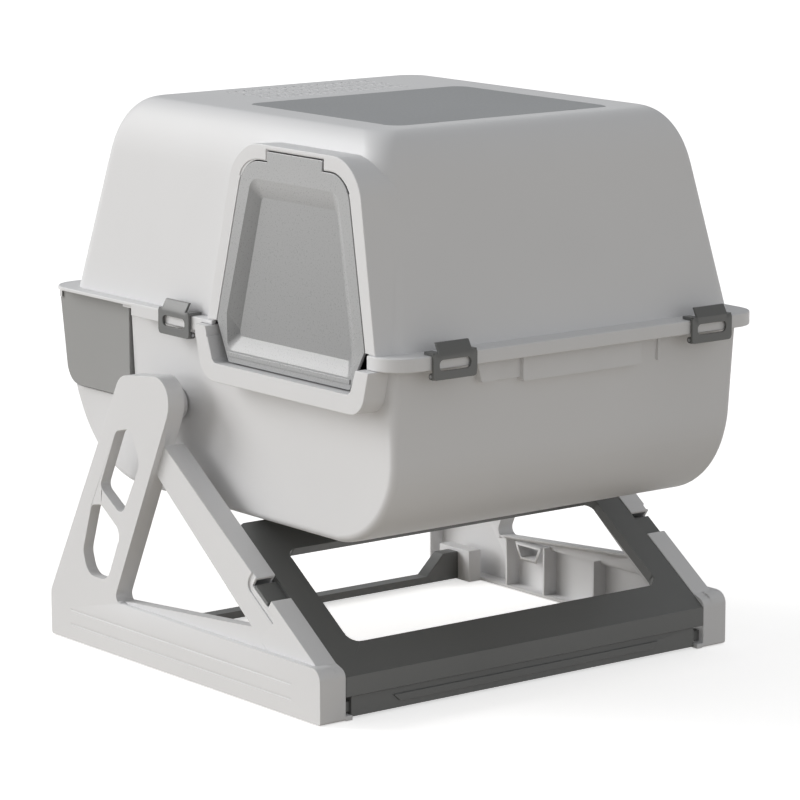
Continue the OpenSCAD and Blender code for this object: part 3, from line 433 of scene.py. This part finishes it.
def carve(body, steps):
    """Joins, cuts or trims a bmesh with others in order; steps are (operation, bmesh)."""
    target = raw_object(body)
    tools = []
    for operation, tool in steps:
        tools.append(raw_object(tool))
        modifier = target.modifiers.new("carve", "BOOLEAN")
        modifier.object = tools[-1]
        modifier.operation = operation
        modifier.solver = "MANIFOLD"
    graph = bpy.context.evaluated_depsgraph_get()
    mesh = bpy.data.meshes.new_from_object(target.evaluated_get(graph))
    result = bmesh.new()
    result.from_mesh(mesh)
    for used in [target, *tools]:
        bpy.data.objects.remove(used)
    bpy.data.meshes.remove(mesh)
    bmesh.ops.remove_doubles(result, verts=result.verts, dist=WELD)
    bmesh.ops.dissolve_limit(result, angle_limit=radians(0.3), verts=result.verts,
                             edges=result.edges, delimit={"NORMAL"})
    bmesh.ops.connect_verts_concave(result, faces=result.faces)
    return result


def strays(bm, tree, reach):
    """Points of bm that lie further than reach from the surface held in tree."""
    found = []
    for face in bm.faces:
        middles = [(e.verts[0].co + e.verts[1].co) / 2 for e in face.edges]
        for point in [v.co.copy() for v in face.verts] + middles + [face.calc_center_median()]:
            if tree.find_nearest(point)[3] > reach:
                found.append(point)
    return found


def soften(bm, width, angle=EDGE_ANGLE, segments=2):
    """Rounds the outward sharp edges of bm, apart from those where a trial shows no room."""
    for kind in (bm.verts, bm.edges):
        kind.index_update()
        kind.ensure_lookup_table()
    tree = BVHTree.FromBMesh(bm)
    near = KDTree(len(bm.verts))
    for vert in bm.verts:
        near.insert(vert.co, vert.index)
    near.balance()
    sharp = {e.index for e in bm.edges
             if e.is_manifold and e.is_convex and e.calc_face_angle() > angle}
    options = {"segments": segments, "profile": 0.5, "affect": "EDGES", "clamp_overlap": False,
               "loop_slide": True, "material": -1}

    def still_sharp(index):
        return any(e.index in sharp for e in bm.verts[index].link_edges)

    off, around = 0.62, 1.6  # A point this many widths off the surface frees the edges around it
    for share in (0.05, 0.25, 1, 1, 1, 1, 1):
        trial = bm.copy()
        trial.edges.ensure_lookup_table()
        edges = [trial.edges[i] for i in sharp]
        bmesh.ops.bevel(trial, geom=edges, offset=width * share, **options)
        crowded = strays(trial, tree, off * width * share)
        trial.free()
        for point in crowded:
            found = near.find_range(point, around * width * share)
            close = [index for _, index, _ in found if still_sharp(index)]
            if not close and sharp:
                close = [near.find(point, filter=still_sharp)[1]]
            for index in close:
                sharp -= {e.index for e in bm.verts[index].link_edges}
        if share == 1 and not crowded:
            break
    bmesh.ops.bevel(bm, geom=[bm.edges[i] for i in sharp], offset=width, **options)


def piece(name, bm, stands_for, width=0.0, angle=EDGE_ANGLE, segments=2):
    """A finished piece of the box: named, smooth, riding where its CAD nodes ride."""
    if width:
        soften(bm, width, angle, segments)
    made = raw_object(bm, name)
    made.data.shade_smooth()
    made.data.set_sharp_from_angle(angle=angle)
    made.modifiers.new("faces", "WEIGHTED_NORMAL").keep_sharp = True
    slot = SLOT_OF[stands_for[0]]
    made.data.materials.clear()
    made.data.materials.append(finish_for(slot))
    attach(made, BODY_OF[stands_for[0]])
    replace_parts(made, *stands_for)
    return made


def copy_of(node):
    """A CAD node's mesh with its loose triangles merged into clean faces, as a bmesh."""
    bm = bmesh.new()
    bm.from_mesh(NODES[node].data)
    bmesh.ops.remove_doubles(bm, verts=bm.verts, dist=WELD)
    bmesh.ops.dissolve_limit(bm, angle_limit=radians(0.6), verts=bm.verts, edges=bm.edges,
                             delimit={"NORMAL"})
    bmesh.ops.connect_verts_concave(bm, faces=bm.faces)
    return bm


def door_place(door):
    """Frame of the tilted door face: X goes in, Y and Z as in the box, from the rim's top."""
    face_x = -(HOOD_HIGH.x - bpy.context.scene.litter_hood.end_ledge) - door.out
    return (Matrix.Translation((face_x, door.middle, rim_top()))
            @ Matrix.Rotation(door.tilt, 4, "Y") @ SIDEWAYS)


def rim_top():
    """Height of the rim's upper face."""
    return HOOD_LOW.z + bpy.context.scene.litter_hood.skirt


# ---------------------------------------------------------------- hood


def dome(hood, inset, low, corner_steps=12, rows=16):
    """The hood's rounded body, inset by a wall, closed above and at the height low."""
    middle_y = (HOOD_LOW.y + HOOD_HIGH.y) / 2
    foot = (HOOD_HIGH.x - hood.end_ledge - inset,
            (HOOD_HIGH.y - HOOD_LOW.y) / 2 - hood.long_ledge - inset)
    lean = (hood.lean_x, hood.lean_y)
    reach = (hood.round_x - inset, hood.round_y - inset)
    rise = hood.shoulder - inset
    shoulder_z = HOOD_HIGH.z - hood.shoulder
    radius = hood.upright - inset
    # Angle at which the straight wall meets the rounding without a crease, for each axis
    meets = []
    for k in (0, 1):
        across, down = (lean[k] + reach[k]) / reach[k], (shoulder_z - low) / rise
        meets.append(acos(1 / hypot(across, down)) - atan2(down, across))

    def half(k, turn):
        """Half width along an axis at the height that belongs to a turn of the rounding."""
        centre = foot[k] - lean[k] - reach[k]
        if turn >= meets[k]:
            return centre + reach[k] * cos(turn)
        joint_z = shoulder_z + rise * sin(meets[k])
        share = (shoulder_z + rise * sin(turn) - low) / (joint_z - low)
        return foot[k] + (centre + reach[k] * cos(meets[k]) - foot[k]) * share

    first = min(meets)
    turns = sorted([*meets, *(first + (pi / 2 - first) * i / rows for i in range(1, rows + 1))])
    levels = [(foot, low)]
    levels += [((half(0, t), half(1, t)), shoulder_z + rise * sin(t)) for t in turns]

    def place(index, level):
        """Where the vertex that stands at index round the outline lies in a level."""
        (half_x, half_y), height = level
        quarter, step = divmod(index, corner_steps + 1)
        angle = (quarter + step / corner_steps) * pi / 2
        side = ((1, 1), (-1, 1), (-1, -1), (1, -1))[quarter]
        return Vector((side[0] * (half_x - radius) + radius * cos(angle),
                       side[1] * (half_y - radius) + radius * sin(angle) + middle_y, height))

    bm = bmesh.new()
    number = bm.verts.layers.int.new("number")
    count = 4 * (corner_steps + 1)
    ring = bmesh.ops.create_circle(bm, cap_ends=True, segments=count, radius=1)["verts"]
    for index, vert in enumerate(ring):
        vert[number] = index
        vert.co = place(index, levels[0])
    edges = list({e for v in ring for e in v.link_edges})
    for level in levels[1:]:
        grown = bmesh.ops.extrude_edge_only(bm, edges=edges)["geom"]
        for vert in (g for g in grown if isinstance(g, bmesh.types.BMVert)):
            vert.co = place(vert[number], level)
        edges = [g for g in grown if isinstance(g, bmesh.types.BMEdge)]
    bmesh.ops.edgeloop_fill(bm, edges=edges)
    bmesh.ops.remove_doubles(bm, verts=bm.verts, dist=0.01 * MM)
    bmesh.ops.recalc_face_normals(bm, faces=bm.faces)
    return bm


def door_frame_outline(door, grow=0.0, low=0.0):
    """Outline of the raised door frame, from the rim up."""
    half = door.half + grow
    top = door.top_half + grow
    height = door.height + grow
    slope = (half - top) / height
    return [(half + slope * -low, low, 0), (top, height, door.corner + grow),
            (-top, height, door.corner + grow), (-half - slope * -low, low, 0)]


def vents(hood):
    """The rows of slots behind the pane, as one cutter."""
    rows, row_pitch, pitch = 3, 27 * MM, 10 * MM
    first = PANE_HIGH.y + 22 * MM
    half = (PANE_HIGH.x - PANE_LOW.x) / 2 - 36 * MM
    low, high = HOOD_HIGH.z - 8 * MM, HOOD_HIGH.z + 2 * MM
    rounding = hood.vent_slot * 0.49
    slots = []
    for row in range(rows):
        for column in range(-9, 11):
            x = (column - 0.5) * pitch
            if abs(x) > half:
                continue
            y = first + row * row_pitch + hood.vent_length / 2
            outline = oblong(x, y, hood.vent_slot, hood.vent_length, rounding)
            slots.append(slab(outline, low, high, segments=4))
    return gather(slots)


def rim_cutters(hood, door, tub, under_rim):
    """What is cut from the skirt: its inside, the room over the drawer and that for the flap."""
    low = HOOD_LOW.z - 5 * MM
    middle_y = (HOOD_LOW.y + HOOD_HIGH.y) / 2
    inside = oblong(0, middle_y, 2 * (HOOD_HIGH.x - hood.wall),
                    HOOD_HIGH.y - HOOD_LOW.y - 2 * hood.wall, hood.rim_corner - hood.wall)
    behind_tub = DRAWER_LOW.y - tub.drawer_gap - 20 * MM
    beside_drawer = 2 * MM
    over_drawer = gather([
        block((-FAR, behind_tub, low), (FAR, HOOD_HIGH.y - 3.5 * MM, under_rim)),
        block((DRAWER_LOW.x - beside_drawer, DRAWER_LOW.y, low - MM),
              (DRAWER_HIGH.x + beside_drawer, FAR, under_rim)),
    ])
    over_flap = block((-FAR, door.middle - 118 * MM, low), (0, door.middle + 136 * MM, under_rim))
    return [slab(inside, low, under_rim), over_drawer, over_flap]


def skylight_cutters(hood):
    """The seat under the skylight, the well that the pane lies in and the opening below it."""
    middle = (PANE_LOW.y + PANE_HIGH.y) / 2
    wide = PANE_HIGH.x - PANE_LOW.x
    deep = PANE_HIGH.y - PANE_LOW.y
    top = HOOD_HIGH.z
    above = top + 5 * MM
    border = 8 * MM
    lap = 14 * MM
    pane_thick = 3.2 * MM
    seat = slab(oblong(0, middle, wide + border, deep + border, 19 * MM),
                top - 6 * MM, top - 1 * MM)
    well = slab(oblong(0, middle, wide + 2 * hood.pane_gap, deep + 2 * hood.pane_gap, 15.5 * MM),
                top - pane_thick, above)
    sky = slab(oblong(0, middle, wide - lap, deep - lap, 11 * MM), top - 20 * MM, above)
    return seat, well, sky


def flap_cutters(door, place):
    """The flap's opening, the step round its top and the room under the door frame."""
    behind = -10 * MM
    opening = slab(flap_outline(door, door.gap), behind, 3.5 * MM, place)
    step = flap_outline(door, door.gap + door.relief, True)
    relief = slab(step, behind, door.relief, place)
    half, low, high = flap_half(door) + 6 * MM, -60 * MM, 1 * MM
    under = slab([(-half, low, 0), (half, low, 0), (half, high, 0), (-half, high, 0)],
                 behind, 16 * MM, place)
    return [opening, relief, under]


class LITTERBOX_OT_hood(bpy.types.Operator):
    """Make the hood with its rim, door frame and vents"""

    bl_idname = "litterbox.hood"
    bl_label = "Hood"

    def execute(self, context):
        hood = context.scene.litter_hood
        door = context.scene.litter_door
        z = rim_top()
        under_rim = z - hood.ledge
        place = door_place(door)
        rim = oblong(0, (HOOD_LOW.y + HOOD_HIGH.y) / 2, 2 * HOOD_HIGH.x,
                     HOOD_HIGH.y - HOOD_LOW.y, hood.rim_corner)
        skirt = slab(rim, HOOD_LOW.z, z, edge=1.2 * MM)
        frame_block = slab(door_frame_outline(door), 0, 44 * MM, place, segments=12, edge=1.2 * MM)
        frame_well = slab(door_frame_outline(door, -hood.wall, -20 * MM), 3 * MM, 60 * MM, place)
        seat, well_pane, sky = skylight_cutters(hood)
        outer = dome(hood, 0, z - 1 * MM)
        inner = dome(hood, hood.wall, under_rim - 2 * MM)
        shell = carve(skirt, [
            *(("DIFFERENCE", tool) for tool in rim_cutters(hood, door, context.scene.litter_tub,
                                                           under_rim)),
            ("UNION", outer), ("UNION", frame_block), ("DIFFERENCE", inner),
            ("DIFFERENCE", frame_well), ("UNION", seat), ("DIFFERENCE", well_pane),
            ("DIFFERENCE", sky), *(("DIFFERENCE", tool) for tool in flap_cutters(door, place)),
        ])
        soften(shell, 0.6 * MM)
        piece("hood_shell", carve(shell, [("DIFFERENCE", vents(hood))]), ["hood"])
        return {"FINISHED"}


# ---------------------------------------------------------------- skylight and flap


def flap_half(door):
    """Half width of the flap where it is widest."""
    return door.half - door.border - 3 * MM


def flap_outline(door, grow=0.0, top_only=False):
    """Outline of the swing flap with the tab at its top, or of its top band alone."""
    half = flap_half(door)
    low_half = half - 20 * MM
    top_half = half - 34.5 * MM
    widest = 2 * MM
    corner = 30 * MM + grow
    top = door.height - door.border - 3 * MM
    low = -door.sill + door.gap + 0.5 * MM
    tab = 42 * MM + grow
    tab_top = top + 10 * MM + grow
    band = top - 16 * MM
    band_half = half + (top_half - half) * (band - widest) / (top - widest)
    foot = [(band_half + grow, band, 0)] if top_only else [
        (low_half + grow, low - grow, 0), (half + grow, widest, 0)]
    right = foot + [(top_half + grow, top + grow, corner), (tab, top + grow, 0), (tab, tab_top, 0)]
    return right + [(-u, v, r) for u, v, r in reversed(right)]


class LITTERBOX_OT_openings(bpy.types.Operator):
    """Make the skylight pane and the swing flap"""

    bl_idname = "litterbox.openings"
    bl_label = "Skylight and flap"

    def execute(self, context):
        half, depth, back = 5 * MM, 1.5 * MM, 1.8 * MM
        pane = carve(copy_of("skylight"), [
            ("DIFFERENCE", block((x - half, PANE_LOW.y - MM, PANE_HIGH.z - depth),
                                 (x + half, PANE_LOW.y + back, PANE_HIGH.z + MM)))
            for x in (-83 * MM, 83 * MM)
        ])
        piece("skylight_pane", pane, ["skylight"], 0.4 * MM)
        piece("swing_flap", copy_of("door_flap"), ["door_flap"], 0.5 * MM, radians(13), 2)
        return {"FINISHED"}


# ---------------------------------------------------------------- tub


def tub_solid(tub, inset, top):
    """The tub's body, inset by a wall: a curved profile, spreading ends and rounded edges."""
    rim_front, rim_back = HOOD_LOW.y, HOOD_HIGH.y
    front = rim_front + tub.front_in + inset
    back = rim_back - tub.back_in - inset
    belly = TUB_LOW.z + inset
    lean = 3.4 * MM / (top - belly - tub.front_round)
    corners = [(front + lean * tub.front_round, belly, tub.front_round - inset),
               (back, belly, tub.back_round - inset), (back, top, 0),
               (front - lean * (top - belly - tub.front_round), top, 0)]
    half = tub.end_half - inset
    bm = slab(corners, -half, half, SIDEWAYS, segments=24)
    height = tub.draft_from
    while height < top:
        cut = bm.verts[:] + bm.edges[:] + bm.faces[:]
        bmesh.ops.bisect_plane(bm, geom=cut, plane_co=(0, 0, height), plane_no=(0, 0, 1))
        height += 30 * MM
    for vert in bm.verts:
        spread = max(0.0, vert.co.z - tub.draft_from) * tan(tub.draft)
        vert.co.x += spread if vert.co.x > 0 else -spread
    ends = [e for e in bm.edges if e.is_manifold and e.calc_face_angle() > radians(60)
            and e.verts[0].co.x * e.verts[1].co.x > 0 and min(v.co.z for v in e.verts) < top - MM]
    bmesh.ops.bevel(bm, geom=ends, offset=max(tub.edge_round - inset, 2 * MM), segments=6,
                    profile=0.5, affect="EDGES", clamp_overlap=False, material=-1)
    return bm


def lip_outline(door, z, lip=0.0):
    """The tub's lip round the flap, or the U-shaped opening inside it, up to the height z."""
    low = flap_half(door) - 8 * MM + lip
    arm = flap_half(door) + 6 * MM + (lip - 3 * MM if lip else 0)
    sill = rim_top() - door.sill - lip - (1 * MM if lip else 0)
    corner = door.lip_corner if lip else 7 * MM
    return [(-low, sill, corner), (low, sill, corner), (arm, z, 0), (-arm, z, 0)]


class LITTERBOX_OT_tub(bpy.types.Operator):
    """Make the tub with its lip, flange, finger grip and runners"""

    bl_idname = "litterbox.tub"
    bl_label = "Tub"

    def execute(self, context):
        tub = context.scene.litter_tub
        door = context.scene.litter_door
        hood = context.scene.litter_hood
        z = rim_top()
        top = TUB_HIGH.z
        flange_z = top - tub.wall
        shift = Matrix.Translation((0, door.middle, 0))
        notch_y = DRAWER_LOW.y - tub.drawer_gap
        notch_z = DRAWER_LOW.z - 2 * MM
        notch = block((-FAR, notch_y, notch_z), (FAR, FAR, FAR))
        notch_in = block((-FAR, notch_y - tub.wall, notch_z - tub.wall), (FAR, FAR, FAR))
        flange_end = block((-FAR, notch_y, 0), (FAR, FAR, FAR))
        clear = 0.4 * MM
        lip_top = HOOD_LOW.z - clear
        lip_in = -tub.end_half + 2 * MM
        lip = slab(lip_outline(door, lip_top, door.lip), TUB_LOW.x, lip_in, shift @ SIDEWAYS,
                   edge=1.0 * MM)
        arm = flap_half(door) + 6 * MM
        arm_in, arm_out = arm - 4 * MM, arm + door.lip - 3 * MM
        arm_low, arm_top = lip_top - 2 * MM, z - hood.ledge - clear
        raised = slab([(arm_in, arm_low, 0), (arm_out, arm_low, 0), (arm_out, arm_top, 0),
                       (arm_in, arm_top, 0)], TUB_LOW.x, lip_in, shift @ SIDEWAYS)
        gate = slab(lip_outline(door, z + 1 * MM), -FAR, -tub.end_half + 16 * MM, shift @ SIDEWAYS)
        inset = 7.2 * MM
        flange = slab(oblong(0, (HOOD_LOW.y + HOOD_HIGH.y) / 2, 2 * HOOD_HIGH.x - inset,
                             HOOD_HIGH.y - HOOD_LOW.y - inset, 27 * MM), flange_z, top)
        body = tub_solid(tub, 0, top)
        inside = carve(tub_solid(tub, tub.wall, top + 20 * MM), [("DIFFERENCE", notch_in)])
        half, front, back = 3 * MM, notch_y + 8 * MM, notch_y + 104 * MM
        runners = gather([block((x - half, front, notch_z - 0.1 * MM),
                                (x + half, back, notch_z + 1.7 * MM))
                          for x in (-150 * MM, 150 * MM)])
        flange = carve(flange, [("DIFFERENCE", flange_end)])
        shell = carve(body, [
            ("DIFFERENCE", notch), ("UNION", flange), ("UNION", lip), ("UNION", raised),
            *(("UNION", part) for part in grip(tub, z, flange_z)),
            ("DIFFERENCE", inside), ("DIFFERENCE", gate), ("UNION", runners),
        ])
        piece("tub_shell", shell, ["tub"], 0.8 * MM)
        return {"FINISHED"}


def grip(tub, z, top):
    """The finger grip under the front rim: a long panel, a tapered block, a thin rib and a web."""
    face = HOOD_LOW.y + tub.front_in
    start = -face - 3 * MM
    out = 11 * MM
    low = z - 37 * MM
    high = top + 1 * MM
    panel_left, panel_right = -64 * MM, 80 * MM
    wedge_left, wedge_right, wedge_top_left = -113 * MM, -92 * MM, -120 * MM
    rib_left, rib_right = 105 * MM, 108 * MM
    web_left, web_right, web_low, web_high = -94 * MM, -62 * MM, low + 3 * MM, high - 0.4 * MM
    panel = slab([(panel_left, low, 2 * MM), (panel_right, low, 2 * MM), (panel_right, high, 0),
                  (panel_left, high, 0)], start, -face + out, FRONTWAYS)
    wedge_low = low + 4 * MM
    wedge = slab([(wedge_left, wedge_low, 3 * MM), (wedge_right, wedge_low, 3 * MM),
                  (wedge_right, high, 0), (wedge_top_left, high, 0)],
                 start, -face + out, FRONTWAYS)
    rib = slab([(rib_left, low, 0), (rib_right, low, 0), (rib_right, high, 0),
                (rib_left, high, 0)], start, -face + out / 2, FRONTWAYS)
    web = slab([(web_left, web_low, 0), (web_right, web_low, 0), (web_right, web_high, 0),
                (web_left, web_high, 0)], -face - 2 * MM, -face + out * 0.6, FRONTWAYS)
    return [panel, wedge, rib, web]


# ---------------------------------------------------------------- stand, clips, drawer, fittings


def rib_tips(side):
    """Cutters that level the tips of a base's ribs with the ledge on top of the base."""
    ledge_z, rib_half = 53.2 * MM, 2 * MM
    left, right = sorted((side * (PANEL_LOW.x + 2.9 * MM), side * (PANEL_LOW.x + 6.99 * MM)))
    return [
        ("DIFFERENCE",
         block((left, y - rib_half, ledge_z), (right, y + rib_half, ledge_z + 1 * MM)))
        for y in (-26.05 * MM, 51.95 * MM, 111.95 * MM)
    ]


class LITTERBOX_OT_stand(bpy.types.Operator):
    """Make the side panels, the front frame, the front rail and the rear bar"""

    bl_idname = "litterbox.stand"
    bl_label = "Stand"

    def execute(self, context):
        for name, side in (("door_side", 1), ("far_side", -1)):
            panel = carve(copy_of(f"{name}_panel"), rib_tips(side))
            piece(f"{name}_frame_panel", panel, [f"{name}_panel"], 0.9 * MM)
        piece("tilted_frame", copy_of("front_frame"), ["front_frame"], 0.9 * MM)
        piece("lower_rail", copy_of("front_rail"), ["front_rail"], 0.7 * MM)
        piece("rear_crossbar", copy_of("rear_bar"), ["rear_bar"], 0.9 * MM)
        return {"FINISHED"}


class LITTERBOX_OT_clips(bpy.types.Operator):
    """Make the four rim clips"""

    bl_idname = "litterbox.clips"
    bl_label = "Clips"

    def execute(self, context):
        for node in ("front_clip_left", "front_clip_right", "door_end_clip", "far_end_clip"):
            piece(f"{node}_body", copy_of(node), [node], 0.5 * MM)
        return {"FINISHED"}


class LITTERBOX_OT_drawer(bpy.types.Operator):
    """Make the waste drawer"""

    bl_idname = "litterbox.drawer"
    bl_label = "Drawer"

    def execute(self, context):
        piece("waste_drawer_tray", copy_of("drawer"), ["drawer"], 0.7 * MM)
        return {"FINISHED"}


class LITTERBOX_OT_fittings(bpy.types.Operator):
    """Give the bushes, hubs, pins, screws, pads and inner pieces their finishes"""

    bl_idname = "litterbox.fittings"
    bl_label = "Fittings"

    def execute(self, context):
        replaced = {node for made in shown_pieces() for node in made.get("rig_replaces", [])}
        for name, node in NODES.items():
            if name in replaced:
                continue
            node.data.materials.clear()
            node.data.materials.append(finish_for(SLOT_OF[name]))
        return {"FINISHED"}


# ---------------------------------------------------------------- stage


def floor_finish(finishes):
    """Pale seamless paper: the camera sees it bright, and it throws little light back up."""
    material, tree, output, _ = start_material("studio_paper")
    path = add(tree, "ShaderNodeLightPath")
    seen = add(tree, "ShaderNodeMath", [(0, path, "Is Camera Ray"), (1, path, "Is Glossy Ray")],
               operation="MAXIMUM")
    seen = add(tree, "ShaderNodeMath", [(0, seen, "Value"), (1, path, "Is Transmission Ray")],
               operation="MAXIMUM")
    bright = add(tree, "ShaderNodeBsdfDiffuse")
    bright.inputs["Color"].default_value = linear(finishes.floor)
    dim = add(tree, "ShaderNodeBsdfDiffuse")
    dim.inputs["Color"].default_value = (0.56, 0.51, 0.44, 1)  # Slightly warm
    glow = add(tree, "ShaderNodeEmission", Strength=0.6)
    lit = add(tree, "ShaderNodeAddShader", [(0, bright, "BSDF"), (1, glow, "Emission")])
    mixed = add(tree, "ShaderNodeMixShader",
                [(0, seen, "Value"), (1, dim, "BSDF"), (2, lit, "Shader")])
    tree.links.new(mixed.outputs["Shader"], output.inputs["Surface"])
    return material


def sun(name, towards, strength, spread, tint=(1, 1, 1)):
    """A broad soft sun that shines along a direction."""
    lamp = bpy.data.lights.new(name, "SUN")
    lamp.energy = strength
    lamp.angle = spread
    lamp.color = tint
    made = bpy.data.objects.new(name, lamp)
    made.rotation_euler = Vector(towards).to_track_quat("-Z", "Y").to_euler()
    bpy.context.scene.collection.objects.link(made)


class LITTERBOX_OT_stage(bpy.types.Operator):
    """Make the floor, the lights and the camera"""

    bl_idname = "litterbox.stage"
    bl_label = "Stage"

    def execute(self, context):
        scene = context.scene
        bm = bmesh.new()
        bmesh.ops.create_grid(bm, x_segments=1, y_segments=1, size=30)
        floor = raw_object(bm, "studio_floor")
        floor.data.materials.append(floor_finish(scene.litter_finishes))
        floor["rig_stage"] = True

        world = bpy.data.worlds.new("studio")
        world.use_nodes = True
        world.node_tree.nodes["Background"].inputs["Color"].default_value = (0.97, 0.985, 1, 1)
        world.node_tree.nodes["Background"].inputs["Strength"].default_value = 0.42
        scene.world = world
        sun("key", (0.55, -0.72, -0.42), 1.64, radians(32), (1, 0.995, 0.985))
        sun("low_fill", (0.92, -0.38, -0.1), 0.66, radians(25))
        sun("front_fill", (-0.1, 0.99, -0.05), 0.36, radians(50))

        camera = bpy.data.cameras.new("camera")
        camera.lens = 178.2
        camera.sensor_width = 36
        camera.clip_end = 200
        view = bpy.data.objects.new("camera", camera)
        view.location = (-2.3422, -2.9905, 0.9630)
        view.rotation_euler = Vector((0.606, 0.773, -0.186)).to_track_quat("-Z", "Y").to_euler()
        scene.collection.objects.link(view)
        scene.camera = view
        scene.view_settings.view_transform = "Standard"
        return {"FINISHED"}


class LITTERBOX_PT_panel(bpy.types.Panel):
    """Buttons that make each part of the litter box"""

    bl_label = "Litter Box"
    bl_space_type = "VIEW_3D"
    bl_region_type = "UI"
    bl_category = "Litter Box"

    def draw(self, context):
        for operator in OPERATORS:
            self.layout.operator(operator.bl_idname)


OPERATORS = (
    LITTERBOX_OT_stage,
    LITTERBOX_OT_hood,
    LITTERBOX_OT_openings,
    LITTERBOX_OT_tub,
    LITTERBOX_OT_stand,
    LITTERBOX_OT_clips,
    LITTERBOX_OT_drawer,
    LITTERBOX_OT_fittings,
)
SETTINGS = {
    "litter_hood": HoodSizes,
    "litter_door": DoorSizes,
    "litter_tub": TubSizes,
    "litter_finishes": Finishes,
}


def register():
    for kind in (*SETTINGS.values(), *OPERATORS, LITTERBOX_PT_panel):
        bpy.utils.register_class(kind)
    for name, kind in SETTINGS.items():
        setattr(bpy.types.Scene, name, bpy.props.PointerProperty(type=kind))


def unregister():
    for name in SETTINGS:
        delattr(bpy.types.Scene, name)
    for kind in reversed((*SETTINGS.values(), *OPERATORS, LITTERBOX_PT_panel)):
        bpy.utils.unregister_class(kind)


def main():
    register()
    for operator in OPERATORS:
        group, name = operator.bl_idname.split(".")
        getattr(getattr(bpy.ops, group), name)()


if __name__ == "__main__":
    main()
